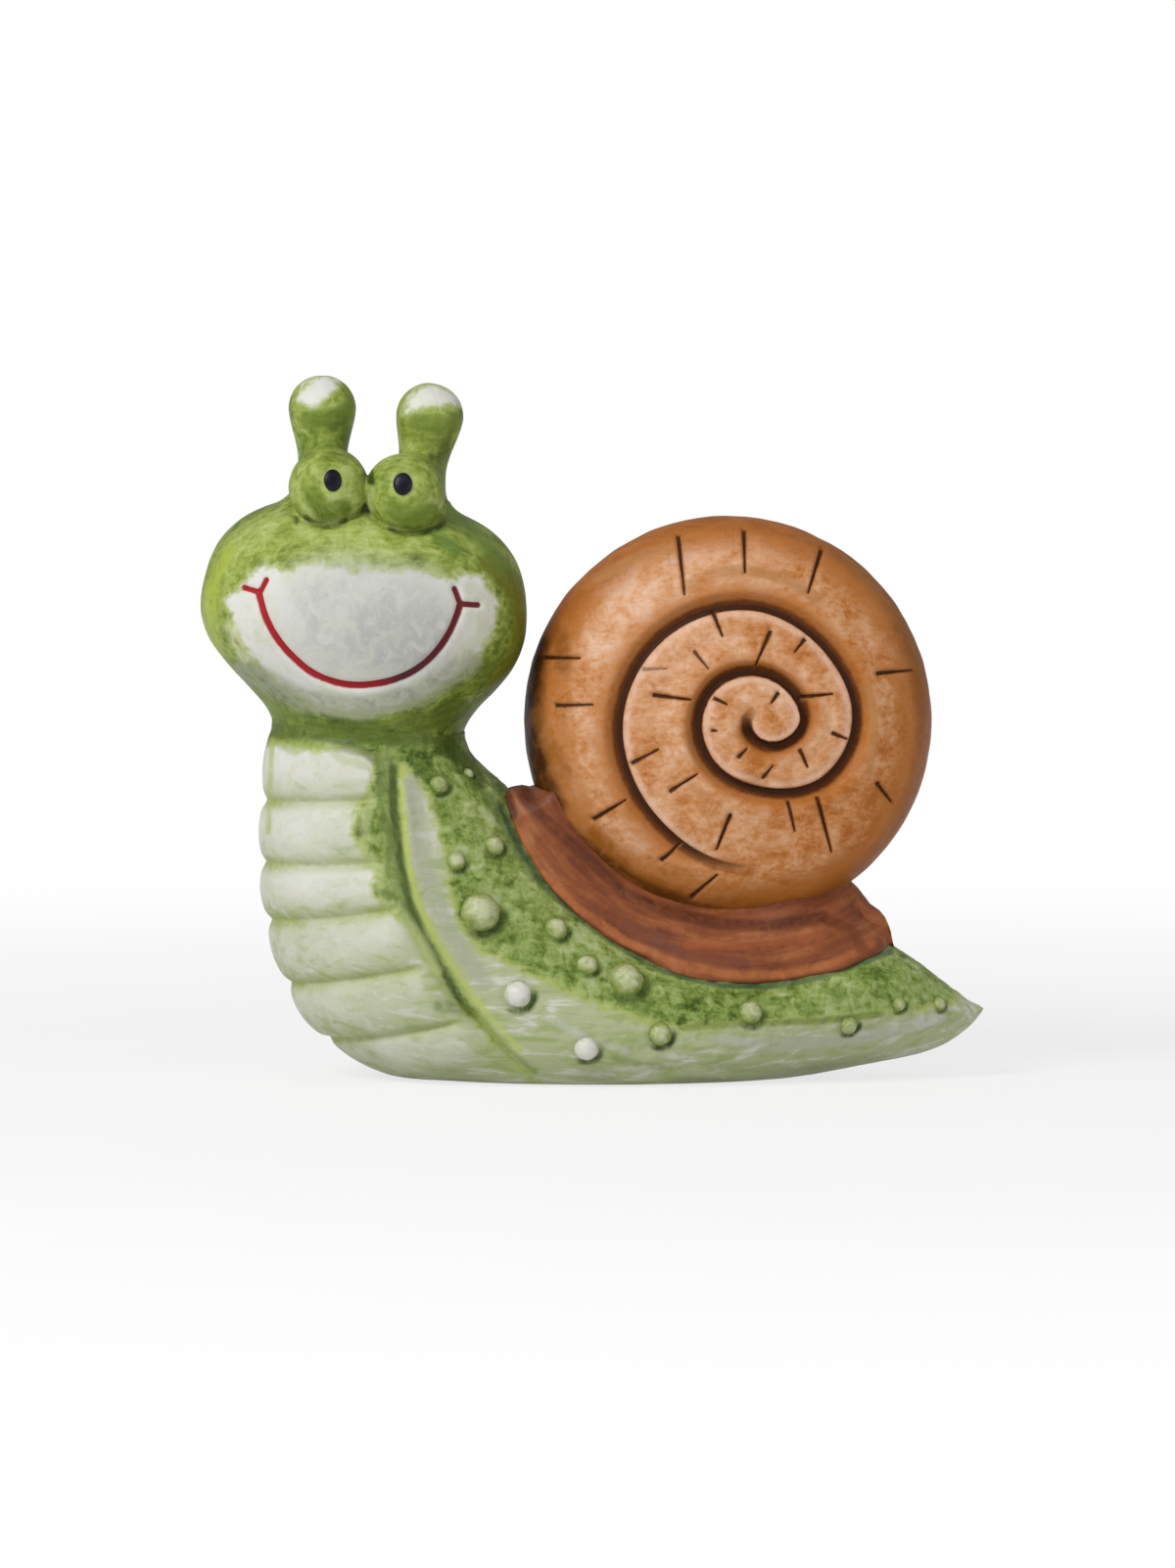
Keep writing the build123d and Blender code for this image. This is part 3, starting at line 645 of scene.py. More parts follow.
def leaf_green(name, mottle, greens, with_smile=False):
    """Brushed leaf-green and off-white glaze, mottled where the brush pulled it thin."""
    glaze = Glaze(name)
    blotches = glaze.lumps(7.5, 3, 0.55, 0.6)
    dabs = glaze.lumps(2.6, 4, 0.6, 0.9, (1, 1, 0.75), (0, 20, 0))
    streaks = glaze.lumps(1.5, 3, 0.55, 0.3, (0.3, 1, 1), (0, 8, 0))
    grain = glaze.lumps(0.7, 2, 0.5)
    level = glaze.total((blotches, 0.3), (dabs, 0.45 * mottle), (streaks, 0.3), (grain, 0.15 * mottle),
                        (0.2 - 0.3 * mottle, 1.0), (glaze.mark("tone"), 1.0))
    green = glaze.ramp(level, greens)
    chalk = glaze.total((blotches, 0.5), (dabs, 0.3), (streaks, 0.2))
    white = glaze.ramp(chalk, (
        (0.36, (0.6, 0.62, 0.47)), (0.5, (0.71, 0.71, 0.64)), (0.62, (0.77, 0.765, 0.75))))
    # Painted shade: the off-white greyed towards grey-green as far as the mesh's mark of painted shade says,
    # brush marks showing in the greyed parts.
    shade_level = glaze.total((glaze.mark("shade_paint"), 1.0), (blotches, 0.7), (streaks, 0.3), (-0.5, 1.0))
    shade_paint = glaze.between(shade_level, 0.05, 1.0)
    white = glaze.tint(white, (0.43, 0.47, 0.27), shade_paint)
    drags = glaze.lumps(2.8, 4, 0.6, 0.6, (0.22, 1, 1))
    white = glaze.tint(white, (0.3, 0.38, 0.12), glaze.between(drags, 0.5, 0.66), shade_paint, 0.75)
    white = glaze.tint(white, (0.66, 0.66, 0.6), glaze.between(drags, 0.47, 0.34), shade_paint, 0.75)
    edge = glaze.total((glaze.mark("white"), 1.0), (dabs, 3.2), (streaks, 2.6), (-2.9, 1.0))
    halo = glaze.tint(green, (0.38, 0.45, 0.13), glaze.between(edge, -1.7, 0.1))
    colour = glaze.tint(halo, white, glaze.between(edge, -0.5, 1.3))
    worn = glaze.total((dabs, 2.0), (blotches, 1.0), (-0.6, 1.0))
    colour = glaze.tint(colour, (0.36, 0.42, 0.13), glaze.mark("crease"), worn)
    colour = glaze.over_paint(colour, dabs)
    roughness = glaze.total((dabs, 0.25), (0.36, 1.0))
    if with_smile:
        line = glaze.ramp(glaze.mark("smile_share"), (
            (0.0, (0.4, 0.01, 0.016)), (0.56, (0.36, 0.01, 0.02)), (0.66, (0.1, 0.015, 0.022)),
            (1.0, (0.17, 0.014, 0.02))))
        thick = glaze.total((glaze.mark("smile"), 1.0), (dabs, 0.3))
        colour = glaze.tint(colour, line, glaze.between(thick, 1.05, 0.75))
    height = glaze.total((dabs, 0.7), (grain, 0.2), (streaks, 0.35))
    return glaze.finish(colour, height, 0.1 + 0.05 * mottle, roughness)


body = ringed_piece("body", points, np.array([neck_middle, tail_tip]), body_rings, {
    "white": body_white, "tone": body_tone, "crease": body_crease, "shade_paint": body_shade_paint, "paint": body_paint})
body.data.materials.append(leaf_green("leaf_green_glaze", 1.0, (
    (0.36, (0.05, 0.09, 0.01)), (0.44, (0.12, 0.18, 0.028)), (0.51, (0.205, 0.285, 0.06)),
    (0.58, (0.3, 0.385, 0.115)), (0.68, (0.43, 0.5, 0.24)))))
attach(body, "root")
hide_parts("body_casting")

# Warts. Small balls of clay rolled between the fingers and pressed on with slip before the body dried.
# Most take the flank's green. Four got a dab of off-white. One tree sets them all on their seats.
wart_fineness = 5
wart_inset = 0.12
wart_dents = 0.5
wart_dent_size = 2.6


def wart_tree():
    """The tree that presses a dented ball on every seat, its foot pointing along the seat's outward mark."""
    tree = bpy.data.node_groups.new("pressed_on_warts", "GeometryNodeTree")
    sockets = {"Seats": "NodeSocketGeometry", "Fineness": "NodeSocketInt", "Dents": "NodeSocketFloat",
               "Dent Size": "NodeSocketFloat", "Glaze": "NodeSocketMaterial"}
    for name, kind in sockets.items():
        tree.interface.new_socket(name, in_out="INPUT", socket_type=kind)
    tree.interface.new_socket("Warts", in_out="OUTPUT", socket_type="NodeSocketGeometry")
    made = tree.nodes.new
    join = tree.links.new
    given = made("NodeGroupInput").outputs
    ball = made("GeometryNodeMeshIcoSphere")
    join(given["Fineness"], ball.inputs["Subdivisions"])
    place = made("GeometryNodeInputPosition")
    height = made("ShaderNodeSeparateXYZ")
    join(place.outputs[0], height.inputs[0])
    crown = made("GeometryNodeStoreNamedAttribute")
    crown.inputs["Name"].default_value = "crown"
    join(ball.outputs["Mesh"], crown.inputs["Geometry"])
    join(height.outputs["Z"], crown.inputs["Value"])
    marks = {}
    for name, kind in (("outward", "FLOAT_VECTOR"), ("radius", "FLOAT")):
        marks[name] = made("GeometryNodeInputNamedAttribute")
        marks[name].data_type = kind
        marks[name].inputs["Name"].default_value = name
    stand = made("FunctionNodeAlignRotationToVector")
    stand.axis = "Z"
    join(marks["outward"].outputs["Attribute"], stand.inputs["Vector"])
    press_on = made("GeometryNodeInstanceOnPoints")
    join(given["Seats"], press_on.inputs["Points"])
    join(crown.outputs["Geometry"], press_on.inputs["Instance"])
    join(stand.outputs[0], press_on.inputs["Rotation"])
    join(marks["radius"].outputs["Attribute"], press_on.inputs["Scale"])
    whole = made("GeometryNodeRealizeInstances")
    join(press_on.outputs[0], whole.inputs[0])
    size = made("ShaderNodeMath")
    size.operation = "DIVIDE"
    size.inputs[0].default_value = 1
    join(given["Dent Size"], size.inputs[1])
    lumps = made("ShaderNodeTexNoise")
    lumps.inputs["Detail"].default_value = 2
    join(size.outputs[0], lumps.inputs["Scale"])
    centred = made("ShaderNodeMath")
    centred.operation = "SUBTRACT"
    centred.inputs[1].default_value = 0.5
    join(lumps.outputs["Fac"], centred.inputs[0])
    depth = made("ShaderNodeMath")
    depth.operation = "MULTIPLY"
    join(centred.outputs[0], depth.inputs[0])
    join(given["Dents"], depth.inputs[1])
    out = made("GeometryNodeInputNormal")
    push = made("ShaderNodeVectorMath")
    push.operation = "SCALE"
    join(out.outputs[0], push.inputs[0])
    join(depth.outputs[0], push.inputs["Scale"])
    dent = made("GeometryNodeSetPosition")
    join(whole.outputs[0], dent.inputs["Geometry"])
    join(push.outputs[0], dent.inputs["Offset"])
    soften = made("GeometryNodeSetShadeSmooth")
    join(dent.outputs[0], soften.inputs["Geometry"])
    glaze = made("GeometryNodeSetMaterial")
    join(soften.outputs[0], glaze.inputs["Geometry"])
    join(given["Glaze"], glaze.inputs["Material"])
    join(glaze.outputs[0], made("NodeGroupOutput").inputs["Warts"])
    return tree


def wart_glaze(name, stops):
    """A wart's glaze, lighter on its crown as a painted highlight and darker at its foot as painted shade."""
    glaze = Glaze(name)
    dabs = glaze.lumps(2.2, 4, 0.6, 0.8)
    grain = glaze.lumps(0.8, 3, 0.6)
    level = glaze.total((dabs, 0.4), (grain, 0.1), (glaze.mark("crown"), 0.28), (glaze.mark("tone"), 1.0))
    colour = glaze.ramp(level, stops)
    height = glaze.total((dabs, 0.6), (grain, 0.4))
    return glaze.finish(colour, height, 0.15, glaze.total((dabs, 0.25), (0.3, 1.0)))


green_wart_glaze = wart_glaze("green_wart_glaze", (
    (0.26, (0.1, 0.14, 0.025)), (0.36, (0.2, 0.26, 0.055)), (0.46, (0.34, 0.4, 0.14)),
    (0.56, (0.55, 0.58, 0.36))))
white_wart_glaze = wart_glaze("white_wart_glaze", (
    (0.26, (0.2, 0.24, 0.1)), (0.36, (0.5, 0.52, 0.36)), (0.44, (0.68, 0.68, 0.6)),
    (0.56, (0.76, 0.75, 0.71))))
pressed_on_warts = wart_tree()


def press_warts(name, nodes, material):
    """One piece of all the warts that stand for nodes."""
    centres, outward, radii = (np.array(values) for values in zip(*[warts[node] for node in nodes]))
    seats = clay_piece(f"{name}_seats", centres, [], {
        "radius": (radii - wart_inset) * METRES,
        "tone": 0.07 * unevenness(centres, 5.0, 8) + 0.02 * radii - 0.05})
    layer = seats.data.attributes.new("outward", "FLOAT_VECTOR", "POINT")
    layer.data.foreach_set("vector", outward.astype(np.float32).ravel())
    modifier = seats.modifiers.new("press_on", "NODES")
    modifier.node_group = pressed_on_warts
    given = {"Fineness": wart_fineness, "Dents": wart_dents * METRES, "Dent Size": wart_dent_size * METRES,
             "Glaze": material}
    for socket in pressed_on_warts.interface.items_tree:
        if socket.name in given:
            modifier[socket.identifier] = given[socket.name]
    bpy.context.view_layer.update()
    seen = bpy.context.evaluated_depsgraph_get()
    mesh = bpy.data.meshes.new_from_object(seats.evaluated_get(seen), depsgraph=seen)
    bpy.data.objects.remove(seats)
    piece = bpy.data.objects.new(name, mesh)
    bpy.context.scene.collection.objects.link(piece)
    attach(piece, "root")
    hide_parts(*nodes)


green_warts = [node for node in warts if node not in white_warts]
press_warts("green_warts", green_warts, green_wart_glaze)
press_warts("white_warts", list(white_warts), white_wart_glaze)

# Head. One hollow casting luted on the neck, with two eye bulbs and two clubbed feelers of solid clay
# worked into it with a wet finger, so the joins are soft. The smile is pressed in with a wire tool.
head_tilt = math.radians(4)
head_height = 50.0
head_half_width = 35.4
head_half_depth = 26.8
head_forward = 3.4
head_shift = 2.3
# Level rings of the skull: shares of its height, half width, half depth, forward reach and sideways shift.
head_station_shares = ((0.09, 0.67, 0.76, 0.25, 0.20), (0.19, 0.80, 0.85, 0.60, 0.45),
                       (0.31, 0.932, 0.945, 0.88, 0.75),
                       (0.46, 1, 1, 1, 1), (0.61, 0.985, 0.985, 0.95, 1), (0.74, 0.925, 0.915, 0.85, 1),
                       (0.85, 0.80, 0.78, 0.72, 1), (0.93, 0.61, 0.60, 0.66, 1),
                       (0.98, 0.35, 0.35, 0.62, 1))
last_ratio = 0.757
crown_steepness = 90
skirt_length = 3.0
skirt_inset = 0.25
bulb_radius = 8.6
bulb_spots = ((-8.3, -16, 51.5), (8.3, -16, 51.5))
feeler_feet = ((-9.5, -6, 40), (9.5, -6, 40))
feeler_tops = ((-12.3, -6, 75.2), (12.3, -6, 75.2))
knob_radius = 7.3
# A feeler's outline below its knob: share of its length and of knob_radius.
feeler_outline_shares = ((0, 1.15), (0.20, 0.96), (0.38, 0.78), (0.53, 0.74), (0.66, 0.88), (0.79, 1.0))
brow_crease = 1.0
brow_crease_half_width = 1.3
bulb_seam = 0.7
bulbs_seam = 1.0
feeler_seam = 5.0
net_step = 0.5

head_origin = neck_middle - neck_across * head_shift
head_right = neck_across * math.cos(head_tilt) - np.array([0, math.sin(head_tilt), 0])
head_back = neck_across * math.sin(head_tilt) + np.array([0, math.cos(head_tilt), 0])
head_up = np.array([math.sin(neck_tilt), 0, math.cos(neck_tilt)])
head_axes = np.stack([head_right, head_back, head_up])

stations = np.array(head_station_shares)
station_heights = np.concatenate([[0], stations[:, 0] * head_height, [head_height]])
head_area = np.concatenate([[neck_half_width * neck_half_depth],
                            stations[:, 1] * stations[:, 2] * head_half_width * head_half_depth, [0]])
head_ratio = np.concatenate([[neck_half_depth / neck_half_width],
                             stations[:, 2] * head_half_depth / (stations[:, 1] * head_half_width), [last_ratio]])
head_centre_y = np.concatenate([[0], stations[:, 3] * -head_forward, [-head_forward * 0.62]])
head_centre_x = np.concatenate([[head_shift], head_shift * (1 - stations[:, 4]), [0]])
fine_heights = np.linspace(0, head_height, 1001)
fine_area = smooth_values(station_heights, head_area, fine_heights)
fine_slope = np.gradient(fine_area, fine_heights)
fine_shape = [smooth_values(station_heights, values, fine_heights)
              for values in (head_ratio, head_centre_x, head_centre_y)]


def blend_in(first, second, reach):
    """The union of two forms, its inner corner filled over reach."""
    overlap = np.maximum(reach - np.abs(first - second), 0) / reach
    return np.minimum(first, second) - overlap * overlap * reach / 4


def head_form(points):
    """Roughly how far points lie outside the head, below 0 inside it."""
    x, y, z = ((points - head_origin) @ head_axes.T).T
    ratio, middle_x, middle_y = (np.interp(z, fine_heights, values) for values in fine_shape)
    area = np.interp(z, fine_heights, fine_area)
    slope = np.interp(z, fine_heights, fine_slope)
    slope = np.where(z < 0, 0, slope)
    area = np.where(z > head_height, (head_height - z) * crown_steepness, area)
    slope = np.where(z > head_height, -crown_steepness, slope)
    across = x - middle_x
    deep = y - middle_y
    size = across**2 * ratio + deep**2 / ratio
    steep = np.sqrt((2 * across * ratio) ** 2 + (2 * deep / ratio) ** 2 + slope**2)
    skull = (size - area) / np.maximum(steep, 12)
    skull = np.maximum(skull + np.where(z < 0, skirt_inset, 0), -z - skirt_length)
    bulbs = []
    for spot in bulb_spots:
        bulbs.append(np.sqrt((x - spot[0]) ** 2 + (y - spot[1]) ** 2 + (z - spot[2]) ** 2) - bulb_radius)
    brow = blend_in(bulbs[0], bulbs[1], bulbs_seam)
    skull = skull + brow_crease * bump(brow, brow_crease_half_width) * ease(-y, 6, 14)
    feelers = []
    for foot, top in zip(feeler_feet, feeler_tops):
        axis = np.subtract(top, foot)
        length = np.linalg.norm(axis)
        axis = axis / length
        from_foot = np.stack([x - foot[0], y - foot[1], z - foot[2]])
        up = axis @ from_foot
        aside = np.sqrt(np.maximum((from_foot**2).sum(axis=0) - up**2, 0))
        knob = length - knob_radius
        share, width = np.transpose(feeler_outline_shares)
        steps = np.linspace(0, knob, 200)
        radius = np.interp(up, steps, smooth_values(share * length, width * knob_radius, steps))
        club = np.where(up < knob, aside - radius, np.hypot(aside, up - knob) - knob_radius)
        feelers.append(np.maximum(club, -up))
    return blend_in(blend_in(skull, brow, bulb_seam), np.minimum(feelers[0], feelers[1]), feeler_seam)


def net_surface(form, low, high, step):
    """A closed net of quads where form is 0, and the directions straight out of it."""
    axes = [np.arange(low[axis], high[axis] + step, step) for axis in range(3)]
    sizes = [len(axis) for axis in axes]
    value = np.empty(sizes)
    for row, x in enumerate(axes[0]):
        sheet = np.stack(np.meshgrid([x], axes[1], axes[2], indexing="ij"), axis=-1)
        value[row] = form(sheet.reshape(-1, 3)).reshape(sizes[1:])
    inside = value < 0
    cells = tuple(size - 1 for size in sizes)
    total = np.zeros((*cells, 3))
    count = np.zeros(cells)
    starts = []
    for axis in range(3):
        second, third = (axis + 1) % 3, (axis + 2) % 3
        lower = np.take(value, np.arange(cells[axis]), axis)
        upper = np.take(value, np.arange(1, sizes[axis]), axis)
        start = np.argwhere((lower < 0) != (upper < 0))
        starts.append(start)
        low_value, high_value = lower[tuple(start.T)], upper[tuple(start.T)]
        crossing = start.astype(float)
        crossing[:, axis] += low_value / (low_value - high_value)
        for back_second in (0, 1):
            for back_third in (0, 1):
                cell = start.copy()
                cell[:, second] -= back_second
                cell[:, third] -= back_third
                np.add.at(total, tuple(cell.T), crossing)
                np.add.at(count, tuple(cell.T), 1)
    used = count > 0
    number = np.full(cells, -1)
    number[used] = np.arange(used.sum())
    points = total[used] / count[used][:, None] * step + np.array([axis[0] for axis in axes])
    faces = []
    for axis, start in enumerate(starts):
        second, third = (axis + 1) % 3, (axis + 2) % 3
        corners = []
        for back_second, back_third in ((1, 1), (0, 1), (0, 0), (1, 0)):
            cell = start.copy()
            cell[:, second] -= back_second
            cell[:, third] -= back_third
            corners.append(number[tuple(cell.T)])
        quads = np.stack(corners, axis=1)
        inward = ~inside[tuple(start.T)]
        quads[inward] = quads[inward, ::-1]
        faces.append(quads)
    probe = 0.1
    longest_step = 0.3
    for _ in range(4):
        slope = [form(points + shift) - form(points - shift) for shift in np.eye(3) * probe]
        slope = np.stack(slope, axis=1) / (2 * probe)
        steep = np.maximum(np.linalg.norm(slope, axis=1), 0.2)
        out = slope / steep[:, None]
        points = points - out * np.clip(form(points) / steep, -longest_step, longest_step)[:, None]
    return points, np.vstack(faces), out


head_low = np.array([-86.5, -32, 70])
head_high = np.array([-10, 32, 155])
head_points, head_faces, head_out = net_surface(head_form, head_low, head_high, net_step)

smile_strokes = (
    ((263, 604), (267, 622), (280, 650), (300, 674), (325, 692), (350, 700), (380, 700), (405, 695),
     (430, 682), (450, 662),
     (463, 640), (471, 617)),
    ((248, 600), (264, 605), (271, 592)),
    ((465, 601), (471, 617), (489, 618)),
)
smile_half_width = 0.85
smile_depth = 1.0
smile_top_pixel = 580
head_spots = in_picture(head_points)
head_local = (head_points - head_origin) @ head_axes.T
on_face = head_local[:, 1] < 0
smile_gap, smile_share = beside(head_spots, smooth_line(smile_strokes[0], 70))
for stroke in smile_strokes[1:]:
    dimple_gap = beside(head_spots, np.array(stroke, float))[0] + 0.6
    smile_gap = np.minimum(smile_gap, dimple_gap)
smile_gap = np.where(on_face & (head_spots[:, 1] > smile_top_pixel), smile_gap * picture_mm, nowhere_near)
relief = 0.14 * unevenness(head_points, 8.0, 11) + 0.06 * unevenness(head_points, 3.0, 12)
relief -= smile_depth * bump(smile_gap, smile_half_width)
head_points = head_points + head_out * relief[:, None]
box_play = 0.01
box_low, box_high = np.array(cad_low) / METRES + box_play, np.array(cad_high) / METRES - box_play
head_points = np.clip(head_points, box_low, box_high)

face_outline = ((266, 577), (229, 613), (242, 650), (259, 676), (288, 703), (323, 723), (354, 729),
                (398, 727), (438, 712),
                (475, 685), (504, 650), (508, 613), (493, 588), (475, 586), (462, 591), (420, 583),
                (358, 582), (328, 575),
                (295, 582), (279, 580))
left_knob_cap = ((303, 408), (308, 394), (320, 384), (335, 381), (347, 386), (346, 396), (338, 402),
                 (330, 412), (316, 418))
right_knob_cap = ((412, 424), (416, 406), (428, 395), (444, 391), (460, 395), (471, 405), (474, 416),
                  (462, 414),
                  (446, 417), (430, 419))
head_strokes = (
    # Painted shade under the eye bulbs and in the notch between them.
    (((312, 528), (320, 535), (332, 538), (345, 537), (353, 532)), 4, leaf_shadow, 0.8),
    (((398, 540), (412, 545), (428, 546), (444, 542), (453, 535)), 4, leaf_shadow, 0.8),
    (((377, 478), (379, 492)), 6, leaf_shadow, 0.9),
    (((380, 500), (376, 530)), 5, (0.42, 0.5, 0.2), 0.5),
    # Painted shade on the lower halves of the eye bulbs.
    (((318, 505), (330, 522), (350, 520)), 14, (0.13, 0.19, 0.018), 0.85),
    (((400, 520), (415, 530), (440, 522)), 13, (0.13, 0.2, 0.02), 0.65),
    (((352, 480), (341, 480), (331, 488), (331, 499), (341, 506), (351, 499), (352, 486)), 4,
     (0.45, 0.54, 0.16), 0.45),
    (((424, 484), (412, 482), (401, 490), (401, 503), (412, 510), (423, 503), (425, 490)), 4,
     (0.45, 0.54, 0.16), 0.45),
    (((302, 530), (303, 534)), 4, leaf_shadow, 0.7),
    (((440, 465), (442, 469)), 3.5, leaf_shadow, 0.6),
    (((448, 550), (466, 562)), 9, (0.1, 0.19, 0.03), 0.6),
    (((262, 572), (266, 575)), 6, (0.14, 0.2, 0.03), 0.5),
    # Painted highlight: lime down the head's left side, towards the lamp.
    (((236, 560), (218, 590), (213, 640), (226, 680)), 10, (0.4, 0.49, 0.055), 0.65),
    # Painted shade down the head's right side, away from the lamp.
    (((500, 575), (526, 600), (537, 635), (528, 672), (505, 705)), 15, (0.16, 0.165, 0.014), 0.75),
    (((462, 527), (490, 550), (515, 580)), 12, (0.15, 0.23, 0.035), 0.55),
    # Painted shade on the underside of the head; the neck's dark green below it is partly paint and partly
    # painted shade.
    (((225, 690), (262, 716), (300, 738), (340, 748)), 13, (0.17, 0.235, 0.04), 0.5),
    (((318, 744), (345, 752), (372, 743), (405, 752)), 12, neck_green_and_shade, 0.6),
    (((400, 747), (440, 737), (470, 722)), 15, neck_green_and_shade, 0.65),
    # Painted shade under the knobs and down the right sides of the knobs and feelers.
    (((316, 428), (336, 428), (356, 420)), 13, (0.12, 0.18, 0.02), 0.7),
    (((352, 400), (362, 412), (358, 430)), 8, (0.2, 0.28, 0.03), 0.5),
    (((425, 430), (445, 436), (466, 430)), 12, (0.14, 0.2, 0.025), 0.6),
    (((350, 430), (358, 450), (352, 470)), 7, (0.13, 0.18, 0.03), 0.5),
    (((455, 450), (452, 480), (455, 510)), 8, (0.12, 0.17, 0.03), 0.5),
    # Painted shade: the white face greyed in its middle and more towards its lower right.
    (((345, 630), (410, 640)), 84, (0.5, 0.505, 0.48), 0.75),
    (((390, 650), (430, 650)), 46, (0.44, 0.445, 0.43), 0.55),
    # Painted highlight: the face lighter at its upper left, towards the lamp.
    (((280, 612), (300, 640)), 20, (0.68, 0.68, 0.66), 0.4),
    # Painted shade along the lower edge of the face.
    (((250, 684), (310, 716), (370, 724), (430, 710), (480, 676)), 17, (0.34, 0.36, 0.26), 0.7),
    (((236, 640), (250, 672)), 9, (0.66, 0.68, 0.42), 0.6),
    (((480, 600), (495, 615), (492, 650), (470, 670)), 10, (0.55, 0.57, 0.42), 0.5),
)
lowest_knob_pixel = 440
far_stroke_strength = 0.35
head_white = np.where(on_face, inside_by(head_spots, np.array(face_outline, float)), -90)
cap_white = np.maximum(inside_by(head_spots, np.array(left_knob_cap, float)),
                       inside_by(head_spots, np.array(right_knob_cap, float)))
head_white = np.where(head_spots[:, 1] < lowest_knob_pixel, cap_white, head_white) * picture_mm
head_paint = np.zeros((len(head_points), 4))
brush(head_paint, head_spots, head_strokes, np.where(head_local[:, 1] < -3, 1.0, far_stroke_strength))
head_tone_and_light = 0.06 * unevenness(head_points, 14.0, 15) + 0.015
# Painted light: the front of the brow lighter, facing the lamp; painted shade towards the head's right side and
# its bottom.
head_tone_and_light += 0.07 * ease(-head_local[:, 1], 0, 20) * ease(head_local[:, 2], 30, 44)
head_tone_and_light -= 0.06 * ease(head_local[:, 0], 15, 36) + 0.04 * (1 - ease(head_local[:, 2], 5, 25))
head_tone_and_light -= 0.03 * ease(head_local[:, 2], 49, 56)

head = clay_piece("head", head_points, head_faces.tolist(), {
    "white": head_white, "tone": head_tone_and_light, "shade_paint": np.full(len(head_points), 0.1), "paint": head_paint,
    "smile": smile_gap, "smile_share": smile_share})
head.data.materials.append(leaf_green("face_glaze", 0.6, (
    (0.36, (0.055, 0.09, 0.008)), (0.44, (0.13, 0.185, 0.022)), (0.51, (0.22, 0.29, 0.045)),
    (0.58, (0.33, 0.41, 0.085)), (0.68, (0.48, 0.55, 0.2))), with_smile=True))
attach(head, "root")
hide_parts("head_casting", "eye_bulb_left", "eye_bulb_right", "feeler_left", "feeler_right")

# Pupils. A drop of thick black glaze on each eye bulb, laid on with the tip of the brush. It stands a
# little proud and dries to a gloss.
pupil_spots = {"left": (341, 492, 1.95, 2.55), "right": (412, 495.5, 2.1, 2.6)}
pupil_thickness = 0.42
pupil_lift = 0.03
pupil_depth = 0.5
pupil_rings = 22
pupil_around = 56
pupil_glaze = Glaze("black_pupil_glaze")
pool = pupil_glaze.lumps(1.6, 3, 0.55)
black = pupil_glaze.ramp(pool, ((0.35, (0.002, 0.0015, 0.006)), (0.65, (0.009, 0.008, 0.02))))
pupil_glaze.finish(black, pool, 0.04, pupil_glaze.total((pool, 0.2), (0.28, 1.0)))
for (side_name, spot_and_size), spot in zip(pupil_spots.items(), bulb_spots):
    pixel_across, pixel_down, half_width, half_height = spot_and_size
    centre = head_origin + np.array(spot) @ head_axes
    bulb_pixel = in_picture(centre[None])[0]
    aside = (pixel_across - bulb_pixel[0]) * picture_mm
    above = (bulb_pixel[1] - pixel_down) * picture_mm
    towards = math.sqrt(bulb_radius**2 - aside**2 - above**2)
    gaze = (np.array([aside, 0, 0]) + camera_up * above + to_camera * towards) / bulb_radius
    right = np.cross(camera_up, gaze)
    right /= np.linalg.norm(right)
    up = np.cross(gaze, right)
    share = np.linspace(0.02, 1, pupil_rings)[:, None]
    angle = -np.linspace(0, 2 * math.pi, pupil_around, endpoint=False)[None]
    flat = (share * np.cos(angle))[..., None] * right * half_width
    flat = flat + (share * np.sin(angle))[..., None] * up * half_height
    outer = gaze * bulb_radius + flat
    outer = outer / np.linalg.norm(outer, axis=2, keepdims=True)
    rise = bulb_radius + pupil_thickness * np.sqrt(np.maximum(1 - share**4, 0)) + pupil_lift
    front = centre + outer * rise[..., None]
    back = centre + outer[::-1] * (bulb_radius - pupil_depth)
    grid = np.concatenate([front, back]).reshape(-1, 3)
    caps = centre + gaze * np.array([[bulb_radius + pupil_thickness + pupil_lift],
                                     [bulb_radius - pupil_depth]])
    pupil = ringed_piece(f"{side_name}_pupil", grid, caps, 2 * pupil_rings, {})
    pupil.data.materials.append(pupil_glaze.material)
    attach(pupil, "root")
    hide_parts(f"pupil_{side_name}")

# Shell. A hollow lens cast in a two-part mould. Its coil is carved into both faces with a loop tool, and
# short ticks are cut across the whorls with a knife. Brown stain wiped off the tan leaves the cuts dark.
shell_half_thickness = 22.5
rim_round = 18.9
rim_reach = 25.6
dome_radius = 111.7
coil_pole = np.array([6.9, 0.7])
coil_start_angle = -225
coil_step_angle = 45
coil_radius_shares = (0.068, 0.069, 0.077, 0.104, 0.151, 0.210, 0.219, 0.247, 0.288, 0.310, 0.318, 0.338,
                      0.422, 0.470, 0.485, 0.562, 0.638, 0.697, 0.710, 0.717)
coil_points = 420
coil_depth = 2.1
coil_half_width = 1.45
whorl_swell = 0.5
whorl_swell_offset = 4.0
whorl_swell_half_width = 2.4
face_edge = (41, 44)
tick_half_width = 0.5
tick_depth = 0.8
near_shell_rings = 214
far_shell_rings = 86
shell_around = 320
